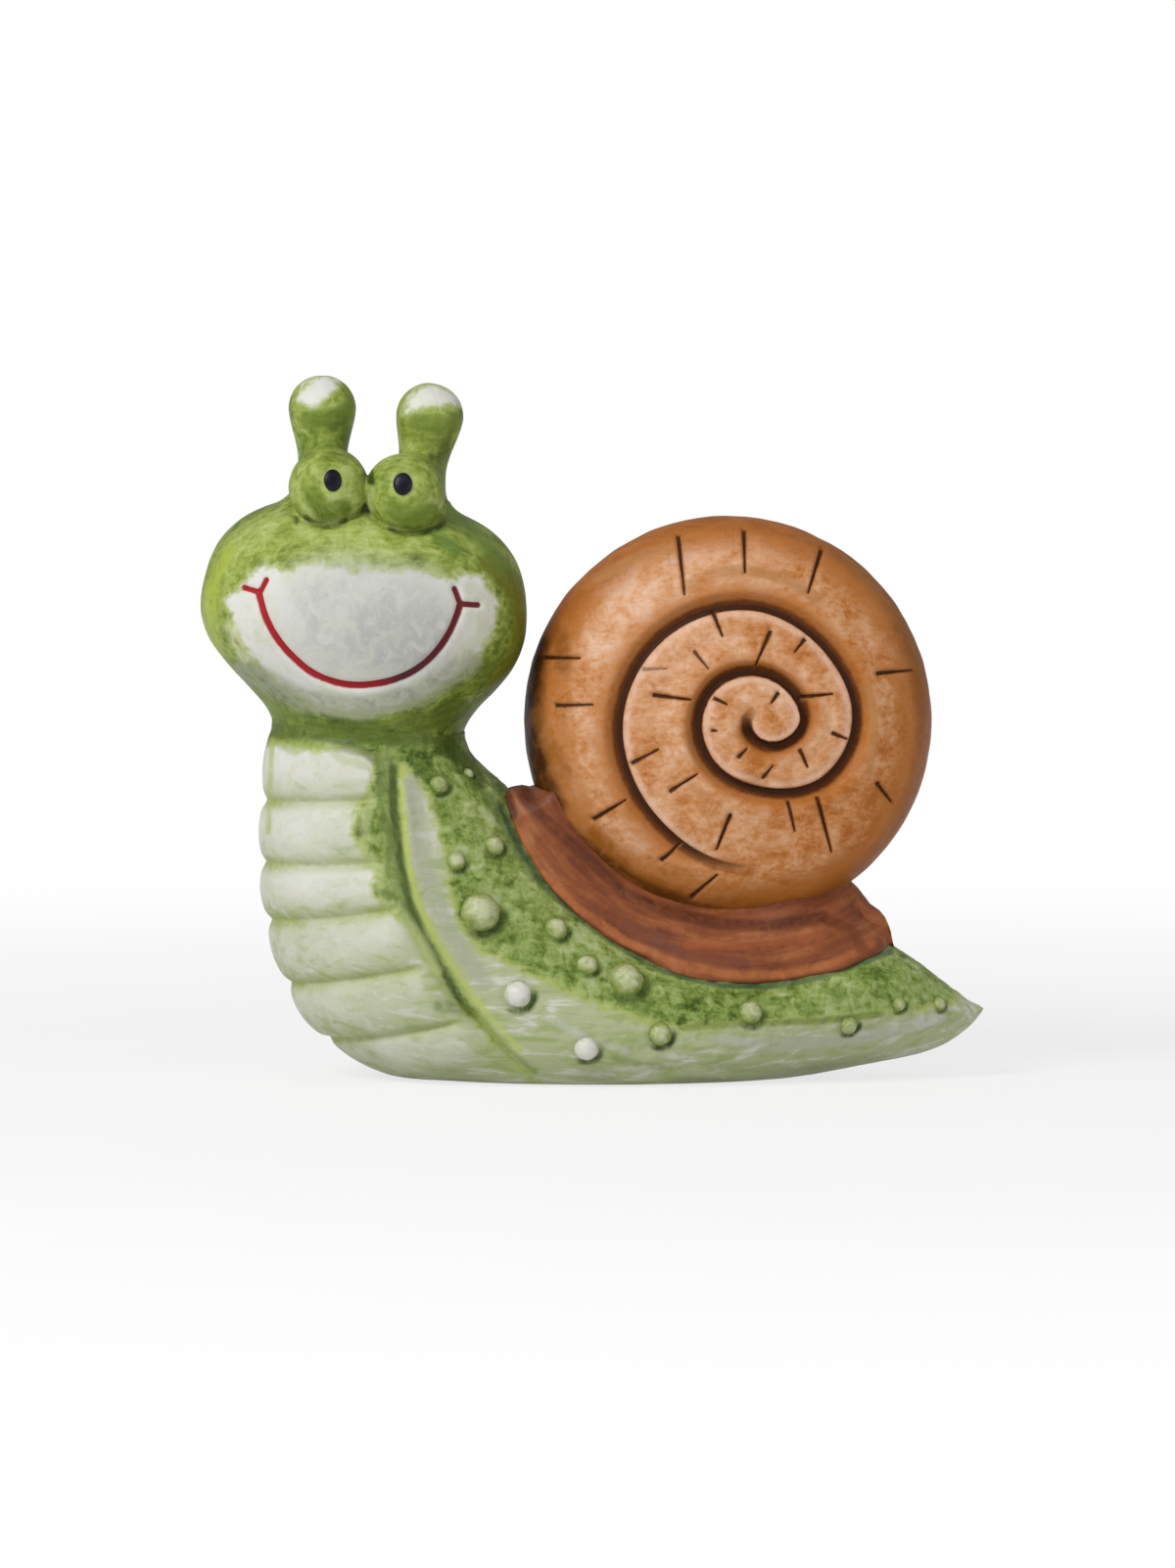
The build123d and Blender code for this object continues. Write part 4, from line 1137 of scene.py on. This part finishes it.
# Ticks: the pixels where each starts and ends, and how deep it is cut.
ticks = ((692, 546, 699, 607, 1.0), (760, 540, 761, 584, 1.0), (840, 560, 826, 605, 1.0),
         (897, 688, 933, 684, 1.0),
         (897, 801, 912, 820, 1.0), (835, 816, 850, 871, 1.0), (805, 820, 812, 850, 0.6),
         (554, 671, 591, 672, 1.1),
         (566, 721, 605, 720, 0.8), (605, 838, 638, 818, 1.0), (675, 879, 696, 863, 1.0),
         (705, 918, 732, 895, 0.9),
         (728, 626, 738, 650, 0.8), (787, 645, 772, 679, 0.9), (822, 653, 812, 666, 0.8),
         (708, 664, 724, 684, 0.4),
         (655, 684, 682, 683, 0.3), (667, 710, 705, 715, 1.0), (645, 780, 672, 766, 0.8),
         (684, 809, 712, 791, 0.8),
         (746, 833, 732, 868, 1.1), (820, 712, 850, 709, 1.0), (850, 749, 865, 755, 0.8),
         (817, 766, 825, 784, 0.8),
         (795, 708, 788, 718, 0.9), (729, 713, 743, 720, 0.6), (726, 746, 733, 747, 0.5),
         (754, 774, 763, 765, 0.7),
         (779, 795, 789, 783, 0.8))

rim_start = rim_reach + rim_round * rim_reach / (dome_radius - rim_round)
rim_lift = math.acos(rim_reach / (dome_radius - rim_round))


def lens_height(reach):
    """Half the plain shell's thickness at a distance from its middle."""
    dome = shell_half_thickness - dome_radius + np.sqrt(dome_radius**2 - np.minimum(reach, rim_start) ** 2)
    rim = np.sqrt(np.maximum(rim_round**2 - np.maximum(reach - rim_reach, 0) ** 2, 0))
    return np.where(reach < rim_start, dome, rim)


dome_length = dome_radius * math.asin(rim_start / dome_radius)
lens_length = dome_length + rim_round * rim_lift


def lens_ring(share):
    """Distance of the plain shell's ring from the axis, by share of the way from face to rim."""
    way = share * lens_length
    on_dome = dome_radius * np.sin(np.minimum(way, dome_length) / dome_radius)
    on_rim = rim_reach + rim_round * np.cos(rim_lift - np.maximum(way - dome_length, 0) / rim_round)
    return np.where(way < dome_length, on_dome, on_rim)


near_share = np.linspace(0.0045, 1, near_shell_rings)
far_share = np.linspace(1, 0.011, far_shell_rings + 1)[1:]
ring_side = np.concatenate([-np.ones(near_shell_rings), np.ones(far_shell_rings)])
ring_way = np.concatenate([near_share, far_share])
shift = 1 - ease(ring_way, 0, 0.75)
reach = lens_ring(ring_way)[:, None]
ring_x, ring_z = coil_pole[0] * shift[:, None], coil_pole[1] * shift[:, None]

# The mesh's columns gather where they cross a tick, so that a knife cut half a millimetre wide has points.
gather = 4
gather_half_width = 1.3
tick_middle = in_picture(shell_middle[None] - np.array([0, shell_half_thickness, 0]))[0]
face_pixel = np.array([picture_mm, -picture_mm / math.cos(camera_lift)])
fine_angle = np.linspace(0, 2 * math.pi, 1441)
fine_x = ring_x + reach * np.cos(fine_angle)
fine_z = ring_z + reach * np.sin(fine_angle)
fine_spots = np.stack([fine_x, fine_z], axis=2)
crowding = np.zeros(fine_x.shape)
for start_x, start_y, end_x, end_y, strength in ticks:
    cut_line = (np.array([(start_x, start_y), (end_x, end_y)]) - tick_middle) * face_pixel
    gap = beside(fine_spots.reshape(-1, 2), cut_line)[0].reshape(crowding.shape)
    crowding = np.maximum(crowding, gather * bump(gap, gather_half_width))
blur = bump(np.arange(-12, 13), 5)
blur /= blur.sum()
crowding = np.apply_along_axis(lambda column: np.convolve(column, blur, "same"), 0, crowding) + 1
gathered = np.cumsum(crowding, axis=1) - crowding[:, :1]
around = np.array([np.interp(np.linspace(row[-1], 0, shell_around, endpoint=False), row, fine_angle)
                   for row in gathered])
flat_x = ring_x + reach * np.cos(around)
flat_z = ring_z + reach * np.sin(around)
flat_y = lens_height(np.hypot(flat_x, flat_z)) * ring_side[:, None]
flat_y[near_shell_rings - 1] = 0
shell_grid = shell_middle + np.stack([flat_x, flat_y, flat_z], axis=2)
shell_normal = grid_normals(shell_grid).reshape(-1, 3)
flat = shell_grid.reshape(-1, 3)

coil_angle = np.radians(coil_start_angle + coil_step_angle * np.arange(len(coil_radius_shares)))
coil_reach = np.array(coil_radius_shares) * shell_radius
coil_line = smooth_line(np.stack([coil_pole[0] + coil_reach * np.cos(coil_angle),
                                  coil_pole[1] + coil_reach * np.sin(coil_angle)], axis=1), coil_points)
in_face = flat[:, [0, 2]] - shell_middle[[0, 2]]
coil_gap, coil_share = beside(in_face, coil_line)
share_steps = np.linspace(0, 1, coil_points)
nearest = np.stack([np.interp(coil_share, share_steps, coil_line[:, axis]) for axis in (0, 1)], axis=1)
ahead = np.gradient(coil_line, axis=0)
ahead = np.stack([np.interp(coil_share, share_steps, ahead[:, axis]) for axis in (0, 1)], axis=1)
offset = in_face - nearest
leftward = ahead[:, 0] * offset[:, 1] - ahead[:, 1] * offset[:, 0]
coil_side = np.where(leftward > 0, -coil_gap, coil_gap)
rim_gap = np.hypot(*in_face.T)
on_shell_face = 1 - ease(rim_gap, *face_edge)
before_end = 1 - ease(coil_share, 0.9, 1.0)
coil_hold = ease(coil_share, -0.004, 0.02) * before_end * on_shell_face
coil_width = coil_half_width * (0.45 + 0.55 * coil_hold) * (0.75 + 0.25 * ease(coil_share, 0.05, 0.4))
cut = np.where(coil_side < 0, 1 - ease(-coil_side, coil_width * 0.45, coil_width),
               1 - ease(coil_side, coil_width * 0.35, coil_width * 2.2))
ends = np.minimum(coil_share, 1 - coil_share)
coil_cut = cut * coil_hold * np.where(ends <= 0, bump(coil_gap, 1.2), 1)
swell = bump(coil_gap - whorl_swell_offset, whorl_swell_half_width) * before_end * on_shell_face
shell_relief = whorl_swell * swell - coil_depth * coil_cut
shell_relief += 0.13 * unevenness(flat, 7.0, 21) + 0.07 * unevenness(flat, 2.6, 22) - 0.15

shell_spots = in_photo(flat)
tick_mark = np.zeros(len(flat))
tick_side = np.full(len(flat), 3.0)
tick_hold = np.zeros(len(flat))
for start_x, start_y, end_x, end_y, strength in ticks:
    gap, way = beside(shell_spots, np.array([(start_x, start_y), (end_x, end_y)], float))
    width = tick_half_width * (1.15 - 0.5 * way)
    tick_mark = np.maximum(tick_mark, strength * bump(gap * picture_mm, width))
    run = np.array([end_x - start_x, end_y - start_y]) * picture_mm
    run_length = np.linalg.norm(run)
    offset = (shell_spots - (start_x, start_y)) * picture_mm
    ahead_by = offset @ run / run_length
    beside_by = (offset[:, 0] * run[1] - offset[:, 1] * run[0]) / run_length
    beyond = np.maximum(-ahead_by, ahead_by - run_length)
    near_tick = (np.abs(beside_by) < np.abs(tick_side)) & (beyond < 1.5) & (np.abs(beside_by) < 2.9)
    narrowing = 1.25 - 0.75 * np.clip(ahead_by / run_length, 0, 1)
    tick_side[near_tick] = (beside_by / narrowing)[near_tick]
    hold = strength * (1 - ease(beyond, -0.5, 0.6)) * (1 - ease(np.abs(beside_by), 1.6, 2.6))
    tick_hold[near_tick] = hold[near_tick]
shell_relief -= tick_depth * tick_mark
shell_points = flat + shell_normal * shell_relief[:, None]
cap_height = lens_height(7.0)
shell_caps = shell_middle + np.array([[coil_pole[0], side * cap_height, coil_pole[1]] for side in (-1, 1)])

stain_dark = (0.035, 0.012, 0.004)
stain_brown = (0.15, 0.042, 0.009)
stain_orange = (0.45, 0.15, 0.024)
highlight_tan = (0.78, 0.5, 0.36)
shell_strokes = (
    (((590, 610), (572, 660), (566, 720), (570, 780), (592, 830)), 24, (0.45, 0.15, 0.022), 0.6),
    (((600, 855), (650, 892), (710, 915), (770, 922), (830, 912), (880, 882)), 26,
     (0.43, 0.14, 0.02), 0.65),
    (((600, 590), (645, 555), (700, 540), (760, 538), (820, 550), (870, 585), (905, 630)), 18,
     (0.52, 0.19, 0.04), 0.6),
    (((922, 680), (930, 740), (922, 800), (898, 850)), 16, (0.48, 0.17, 0.03), 0.6),
    (((545, 650), (556, 610), (585, 572), (620, 550)), 15, (0.17, 0.045, 0.007), 0.65),
    # Dark brown stain and painted shade down the shell's left edge.
    (((552, 625), (538, 680), (536, 740), (545, 790), (560, 825)), 24, (0.05, 0.016, 0.003), 0.9),
    (((560, 640), (575, 590), (610, 555), (650, 538)), 16, (0.3, 0.09, 0.012), 0.75),
    (((640, 545), (700, 532), (760, 530), (800, 536), (850, 552)), 14, (0.4, 0.13, 0.02), 0.7),
    (((850, 556), (890, 590), (920, 630), (938, 680)), 13, (0.33, 0.13, 0.03), 0.65),
    (((938, 690), (946, 740), (938, 800), (915, 850), (880, 895)), 13, (0.3, 0.1, 0.015), 0.7),
    (((600, 860), (650, 905), (710, 930), (770, 938), (830, 930), (880, 900)), 22, (0.3, 0.1, 0.014), 0.75),
    (((545, 800), (560, 830), (600, 870), (650, 905), (700, 925)), 12, (0.09, 0.026, 0.003), 0.8),
    (((700, 925), (740, 934), (800, 936), (860, 918)), 8, (0.12, 0.03, 0.004), 0.8),
    (((560, 640), (572, 650), (575, 680)), 12, (0.25, 0.08, 0.012), 0.6),
    (((548, 730), (560, 760), (575, 790)), 12, (0.34, 0.13, 0.03), 0.5),
    (((610, 590), (660, 565), (690, 560)), 9, (0.5, 0.24, 0.09), 0.5),
    (((700, 600), (730, 585), (760, 582), (800, 590), (835, 612)), 9, (0.42, 0.18, 0.05), 0.55),
    (((780, 800), (740, 800), (715, 780), (700, 750)), 7, (0.4, 0.17, 0.05), 0.5),
    (((885, 700), (893, 740), (888, 790)), 6, (0.45, 0.22, 0.07), 0.5),
)
shell_paint = np.zeros((len(flat), 4))
brush(shell_paint, shell_spots, shell_strokes)
outside = (coil_side > 0) * coil_hold
wash_reach = 4.2 + 3.2 * ease(coil_share, 0.3, 0.75)
shell_wash = outside * (1 - ease(coil_gap, coil_width * 1.2, wash_reach))
# Painted highlight: pale tan along the inner edge of each groove, where the rounded edge catches the light.
shell_edge_highlight = (coil_side < 0) * coil_hold * bump(coil_gap - coil_width - 0.75, 0.75)
coil_near = coil_hold * (1 - ease(coil_gap, 2.8, 3.8))
shell_tone_and_light = 0.05 * unevenness(flat, 12.0, 25) + 0.05 * unevenness(flat, 4.0, 26)
# Painted light: the shell lighter towards its upper left, facing the lamp, and darker towards its lower right.
shell_tone_and_light += 0.05 * (in_face[:, 1] - in_face[:, 0]) / shell_radius

shell_glaze = Glaze("stained_tan_shell")
blotches = shell_glaze.lumps(5.5, 4, 0.62, 0.6)
dabs = shell_glaze.lumps(2.0, 5, 0.62, 1.0)
drags = shell_glaze.lumps(1.3, 4, 0.6, 0.5, (0.5, 1, 1))
level = shell_glaze.total((blotches, 0.45), (dabs, 0.25), (drags, 0.3), (shell_glaze.mark("tone"), 1.0))
colour = shell_glaze.ramp(level, (
    (0.36, (0.42, 0.13, 0.024)), (0.43, (0.52, 0.2, 0.058)), (0.5, (0.61, 0.285, 0.125)),
    (0.57, (0.69, 0.37, 0.2)), (0.66, (0.76, 0.49, 0.345))))
rim_place = shell_glaze.total((shell_glaze.mark("rim"), 1.0), (dabs, 5.0), (blotches, 6.0), (-5.5, 1.0))
colour = shell_glaze.tint(colour, (0.42, 0.125, 0.016), shell_glaze.between(rim_place, 35.5, 43.0), 0.85)
colour = shell_glaze.tint(colour, (0.2, 0.04, 0.003), shell_glaze.between(rim_place, 39.5, 44.0), 0.85)
wiped = shell_glaze.total((dabs, 0.9), (blotches, 0.5), (0.1, 1.0))
colour = shell_glaze.tint(colour, stain_orange, shell_glaze.mark("wash"), wiped)
# Painted highlight along the inner edge of each groove, broken up in patches.
highlight_breakup = shell_glaze.total((dabs, 1.2), (0.1, 1.0))
colour = shell_glaze.tint(colour, highlight_tan, shell_glaze.mark("edge"), highlight_breakup)
colour = shell_glaze.over_paint(colour, blotches)
near = shell_glaze.mark("coil_near")
groove_place = shell_glaze.total((shell_glaze.mark("coil"), 1.0), (dabs, 0.9), (-0.45, 1.0))
colour = shell_glaze.tint(colour, stain_brown, shell_glaze.between(groove_place, -1.4, -0.95),
                          shell_glaze.between(groove_place, 1.75, 0.9), shell_glaze.math("POWER", near, 0.5))
colour = shell_glaze.tint(colour, stain_dark, shell_glaze.between(groove_place, -1.1, -0.7),
                          shell_glaze.between(groove_place, 0.95, 0.15), near, 0.85)
tick_place = shell_glaze.math("ABSOLUTE", shell_glaze.mark("tick"))
tick_gap = shell_glaze.total((tick_place, 1.0), (dabs, 0.5), (-0.25, 1.0))
colour = shell_glaze.tint(colour, (0.4, 0.15, 0.035), shell_glaze.between(tick_gap, 1.3, 0.4),
                          shell_glaze.mark("tick_hold"), 0.55)
colour = shell_glaze.tint(colour, (0.07, 0.022, 0.006), shell_glaze.between(tick_gap, 0.5, 0.25),
                          shell_glaze.between(shell_glaze.mark("tick_hold"), 0.05, 0.5))
shell_glaze.finish(colour, shell_glaze.total((dabs, 0.6), (drags, 0.4)), 0.12,
                   shell_glaze.total((dabs, 0.25), (0.34, 1.0)), gloss=0.14)

shell = ringed_piece("shell", shell_points, shell_caps, near_shell_rings + far_shell_rings, {
    "coil": np.clip(coil_side, -4, 4), "coil_near": coil_near, "tick": tick_side, "tick_hold": tick_hold,
    "paint": shell_paint, "rim": rim_gap, "wash": shell_wash, "edge": shell_edge_highlight, "tone": shell_tone_and_light})
shell.data.materials.append(shell_glaze.material)
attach(shell, "root")
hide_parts("shell_casting")

# Saddle. A strap of clay laid between body and shell while both were soft, its edge dragged down over the
# back with a thumb. Terracotta slip was brushed along it.
saddle_step = 1.8
saddle_top_reach = 40.0
# The strap's lower edge: degrees about the shell's middle, and distance from it as a share of back_radius.
saddle_edge_shares = ((200, 1.010), (212, 1.012), (224, 1.028), (236, 1.034), (248, 1.052), (260, 1.082),
                      (272, 1.093),
                      (284, 1.116), (295, 1.146), (303, 1.175))
saddle_start = 196.4
saddle_end = 308.0
saddle_cuts = 260
face_steps = 40
lip_steps = 8
lip_round = 0.9
top_tuck = (286, 306)
end_steps = 5


def body_half_width_at(spots):
    """Half the plain body's width at spots of the middle plane, 0 outside it."""
    width = np.zeros(len(spots))
    back, belly = back_line[::4][:, [0, 2]], belly_line[::4][:, [0, 2]]
    half = body_width[::4]
    for index, spot in enumerate(spots[:, [0, 2]]):
        run = belly - back
        offset = spot - back
        turn = run[:, 0] * offset[:, 1] - run[:, 1] * offset[:, 0]
        down = (run * offset).sum(axis=1) / (run * run).sum(axis=1).clip(1e-9)
        swaps = np.nonzero((turn[:-1] > 0) != (turn[1:] > 0))[0]
        for swap in swaps:
            part = turn[swap] / (turn[swap] - turn[swap + 1])
            depth = down[swap] + (down[swap + 1] - down[swap]) * part
            if 0 <= depth <= 1:
                wide = half[swap] + (half[swap + 1] - half[swap]) * part
                width[index] = max(width[index], wide * math.sqrt(1 - (2 * depth - 1) ** 2))
    return width


cut_angle = np.linspace(saddle_start, saddle_end, saddle_cuts)
edge_angles, edge_shares = np.transpose(saddle_edge_shares)
measured_angle = np.clip(cut_angle, edge_angles[0], edge_angles[-1])
edge_reach = back_radius * smooth_values(edge_angles, edge_shares, measured_angle)
edge_reach -= 1.6 * (1 - ease(cut_angle, saddle_start, saddle_start + 3.0))
edge_reach += 0.8 * ease(cut_angle, 303, 306) - 2.2 * ease(cut_angle, 306.3, saddle_end)
along_edge = np.stack([cut_angle * 0.9, 0 * cut_angle, 0 * cut_angle], axis=1)
edge_reach += 0.14 * unevenness(along_edge, 5.0, 31) + 0.06 * unevenness(along_edge, 2.0, 32) - 0.2
half_foot = body_half_width_at(on_shell_ray(cut_angle, edge_reach)) + saddle_step
tucked = ease(cut_angle, *top_tuck)
top_half = lens_height(np.full(saddle_cuts, saddle_top_reach)) * (0.94 - 0.45 * tucked)
flare = 0.85 + 0.45 * tucked
start_taper = np.sin(math.pi / 2 * np.clip((cut_angle - saddle_start) / 8, 0, 1))
end_taper = start_taper * (1 - ease(cut_angle, saddle_end - 1.6, saddle_end))
half_foot = 6 + (half_foot - 6) * (0.3 + 0.7 * end_taper)
way = np.linspace(0, 1, face_steps)
lip_turn = np.linspace(0, math.pi * 0.6, lip_steps + 1)[1:]
rows = []
for angle, foot_reach, foot_half, high_half, power in zip(cut_angle, edge_reach, half_foot, top_half, flare):
    reach_steps = saddle_top_reach + (foot_reach - saddle_top_reach) * way
    half = high_half + (foot_half - high_half) * way**power + 0.5 * np.sin(math.pi * way) ** 1.2
    lip_reach = foot_reach + lip_round * np.sin(lip_turn)
    lip_half = foot_half - lip_round + lip_round * np.cos(lip_turn)
    filled = ease(angle, 299, 304)
    under_reach = foot_reach + np.array([2.2 * filled - 0.5, 5.0 * filled - 2.5])
    under_half = np.array([max(foot_half - 4.5 + 3.0 * filled, 2), 1.0])
    side_reach = np.concatenate([reach_steps, lip_reach, under_reach])
    side_half = np.concatenate([half, lip_half, under_half])
    lip = bump(side_reach - 57.5, 2.6) - 0.55 * bump(side_reach - 51.5, 3)
    lean = 1.9 * ease(angle, 300, 308) * (lip - 0.3)
    lean += 3.6 * (1 - ease(angle, saddle_start, saddle_start + 9)) * (1 - ease(side_reach, 44.5, 49.5))
    near_row = on_shell_ray(angle + lean, side_reach)
    far_row = near_row[::-1].copy()
    near_row[:, 1] = -side_half
    far_row[:, 1] = side_half[::-1]
    rows.append(np.concatenate([near_row, far_row]))
saddle_grid = np.array(rows)
shrunk = np.sin(np.linspace(0.4, math.pi / 2, end_steps))[:, None, None]
for end in (slice(0, end_steps), slice(-1, -end_steps - 1, -1)):
    heart = saddle_grid[end].mean(axis=1, keepdims=True)
    saddle_grid[end] = heart + (saddle_grid[end] - heart) * shrunk
saddle_round = saddle_grid.shape[1]
saddle_normal = grid_normals(saddle_grid).reshape(-1, 3)
flat = saddle_grid.reshape(-1, 3)
drag = np.stack([np.repeat(cut_angle * 0.12, saddle_round), 0 * flat[:, 0],
                 np.linalg.norm(flat - shell_middle, axis=1)], axis=1)
drag[:, 2] += 0.35 * unevenness(flat, 9.0, 33)
saddle_relief = 0.2 * unevenness(drag, 2.4, 34) + 0.1 * unevenness(flat, 4.5, 35)
saddle_points = flat + saddle_normal * saddle_relief[:, None]
saddle_caps = np.stack([saddle_grid[0].mean(axis=0), saddle_grid[-1].mean(axis=0)])

saddle_spots = in_photo(saddle_points)
saddle_strokes = (
    (((508, 806), (516, 814), (522, 832)), 9, (0.06, 0.015, 0.005), 0.75),
    (((528, 850), (550, 888), (590, 928), (640, 962), (690, 984), (740, 995), (800, 996), (850, 984),
      (890, 964)), 6,
     (0.43, 0.14, 0.045), 0.75),
    # Painted shadow: a dark line along the saddle where it meets the shell's rim.
    (((536, 816), (566, 846), (600, 877), (639, 913), (686, 933), (732, 943), (785, 946), (840, 936)), 9,
     (0.1, 0.025, 0.01), 0.75),
    (((640, 945), (700, 975), (760, 985)), 9, (0.13, 0.04, 0.03), 0.5),
    (((700, 965), (770, 968), (840, 955)), 6, (0.34, 0.09, 0.03), 0.55),
    (((878, 925), (895, 940), (905, 960)), 8, (0.36, 0.11, 0.04), 0.7),
    (((845, 940), (870, 950), (880, 968)), 8, (0.14, 0.035, 0.012), 0.6),
)
saddle_paint = np.zeros((len(flat), 4))
brush(saddle_paint, saddle_spots, saddle_strokes)

saddle_glaze = Glaze("terracotta_saddle")
dabs = saddle_glaze.lumps(3.0, 4, 0.6, 0.8)
along_it = saddle_glaze.node("ShaderNodeCombineXYZ")
saddle_glaze.put(along_it.inputs[0], saddle_glaze.mark("across_strap"))
saddle_glaze.put(along_it.inputs[1], saddle_glaze.mark("along_strap"))
pulled = saddle_glaze.node("ShaderNodeTexNoise")
saddle_glaze.put(pulled.inputs["Vector"], along_it.outputs[0])
pulled.inputs["Scale"].default_value = 1.0
pulled.inputs["Detail"].default_value = 3
drags = pulled.outputs["Fac"]
level = saddle_glaze.total((dabs, 0.3), (drags, 0.7), (saddle_glaze.mark("tone"), 1.0))
colour = saddle_glaze.ramp(level, (
    (0.34, (0.16, 0.042, 0.018)), (0.45, (0.225, 0.063, 0.023)), (0.55, (0.285, 0.085, 0.028)),
    (0.66, (0.37, 0.135, 0.05))))
colour = saddle_glaze.over_paint(colour, dabs)
saddle_glaze.finish(colour, saddle_glaze.total((dabs, 0.4), (drags, 0.6)), 0.15,
                    saddle_glaze.total((dabs, 0.25), (0.36, 1.0)))

saddle = ringed_piece("saddle", saddle_points, saddle_caps, saddle_cuts, {
    "paint": saddle_paint, "tone": 0.07 * unevenness(drag, 2.0, 36) + 0.04 * unevenness(flat, 9.0, 37),
    "across_strap": drag[:, 2] / 2.2, "along_strap": np.repeat(cut_angle * 0.06, saddle_round)})
saddle.data.materials.append(saddle_glaze.material)
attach(saddle, "root")
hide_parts("shell_saddle")

# Floor and light. A sheet of white board under the snail, one large soft lamp to the left in front, a
# weaker one to the right, and white walls all round.
floor_reach = 12.0
white_board = Glaze("white_board")
board_grain = white_board.lumps(40, 3, 0.5)
board_colour = white_board.ramp(board_grain, ((0.3, (0.84, 0.84, 0.84)), (0.7, (0.88, 0.88, 0.88))))
white_board.finish(board_colour, board_grain, 0.01, 0.7)
seen_by = white_board.node("ShaderNodeLightPath")
mirrored_or_through = white_board.math("MAXIMUM", seen_by.outputs["Is Glossy Ray"],
                                       seen_by.outputs["Is Transmission Ray"])
seen = white_board.math("MAXIMUM", seen_by.outputs["Is Camera Ray"], mirrored_or_through)
glow = white_board.node("ShaderNodeEmission")
glow.inputs["Color"].default_value = (1, 1, 1, 1)
both = white_board.node("ShaderNodeMixShader")
board_spot = white_board.node("ShaderNodeVectorMath", operation="LENGTH")
white_board.put(board_spot.inputs[0], white_board.place)
far_off = white_board.between(board_spot.outputs["Value"], 0.12, 0.6)
plain_white = white_board.total((far_off, 0.25), (0.75, 1.0))
white_board.put(both.inputs[0], white_board.math("MULTIPLY", seen, plain_white))
white_board.tree.links.new(white_board.shader.outputs[0], both.inputs[1])
white_board.tree.links.new(glow.outputs[0], both.inputs[2])
board_output = next(node for node in white_board.tree.nodes if node.type == "OUTPUT_MATERIAL")
white_board.tree.links.new(both.outputs[0], board_output.inputs["Surface"])
board_mesh = bpy.data.meshes.new("floor")
board_corners = [(x * floor_reach, y * floor_reach, 0) for x, y in ((-1, -1), (1, -1), (1, 1), (-1, 1))]
board_mesh.from_pydata(board_corners, [], [(0, 1, 2, 3)])
board = bpy.data.objects.new("floor", board_mesh)
bpy.context.scene.collection.objects.link(board)
board_mesh.materials.append(white_board.material)


def soft_lamp(name, place, size, power):
    """A round lamp that looks at the snail's middle. Place and size are metres, power is watts."""
    lamp_data = bpy.data.lights.new(name, "AREA")
    lamp_data.shape = "DISK"
    lamp_data.size = size
    lamp_data.energy = power
    lamp = bpy.data.objects.new(name, lamp_data)
    bpy.context.scene.collection.objects.link(lamp)
    lamp.location = place
    aim = np.array(place) - np.array([0, 0, 0.07])
    lamp.rotation_euler = (math.atan2(math.hypot(aim[0], aim[1]), aim[2]), 0, math.atan2(aim[0], -aim[1]))


soft_lamp("key_lamp", (-0.62, -0.72, 0.78), 0.5, 8.0)
soft_lamp("fill_lamp", (0.8, -0.7, 0.35), 0.7, 1.6)
light_of_walls = 0.38
world = bpy.data.worlds.new("white_walls")
bpy.context.scene.world = world
world.use_nodes = True
walls = world.node_tree
background = walls.nodes["Background"]
path = walls.nodes.new("ShaderNodeLightPath")
walls_seen = walls.nodes.new("ShaderNodeMath")
walls_seen.operation = "MAXIMUM"
walls.links.new(path.outputs["Is Camera Ray"], walls_seen.inputs[0])
walls.links.new(path.outputs["Is Transmission Ray"], walls_seen.inputs[1])
level_of_light = walls.nodes.new("ShaderNodeMapRange")
level_of_light.inputs["To Min"].default_value = light_of_walls
level_of_light.inputs["To Max"].default_value = 1.0
walls.links.new(walls_seen.outputs[0], level_of_light.inputs["Value"])
walls.links.new(level_of_light.outputs["Result"], background.inputs["Strength"])
background.inputs["Color"].default_value = (1, 1, 1, 1)
bpy.context.scene.view_settings.view_transform = "Standard"
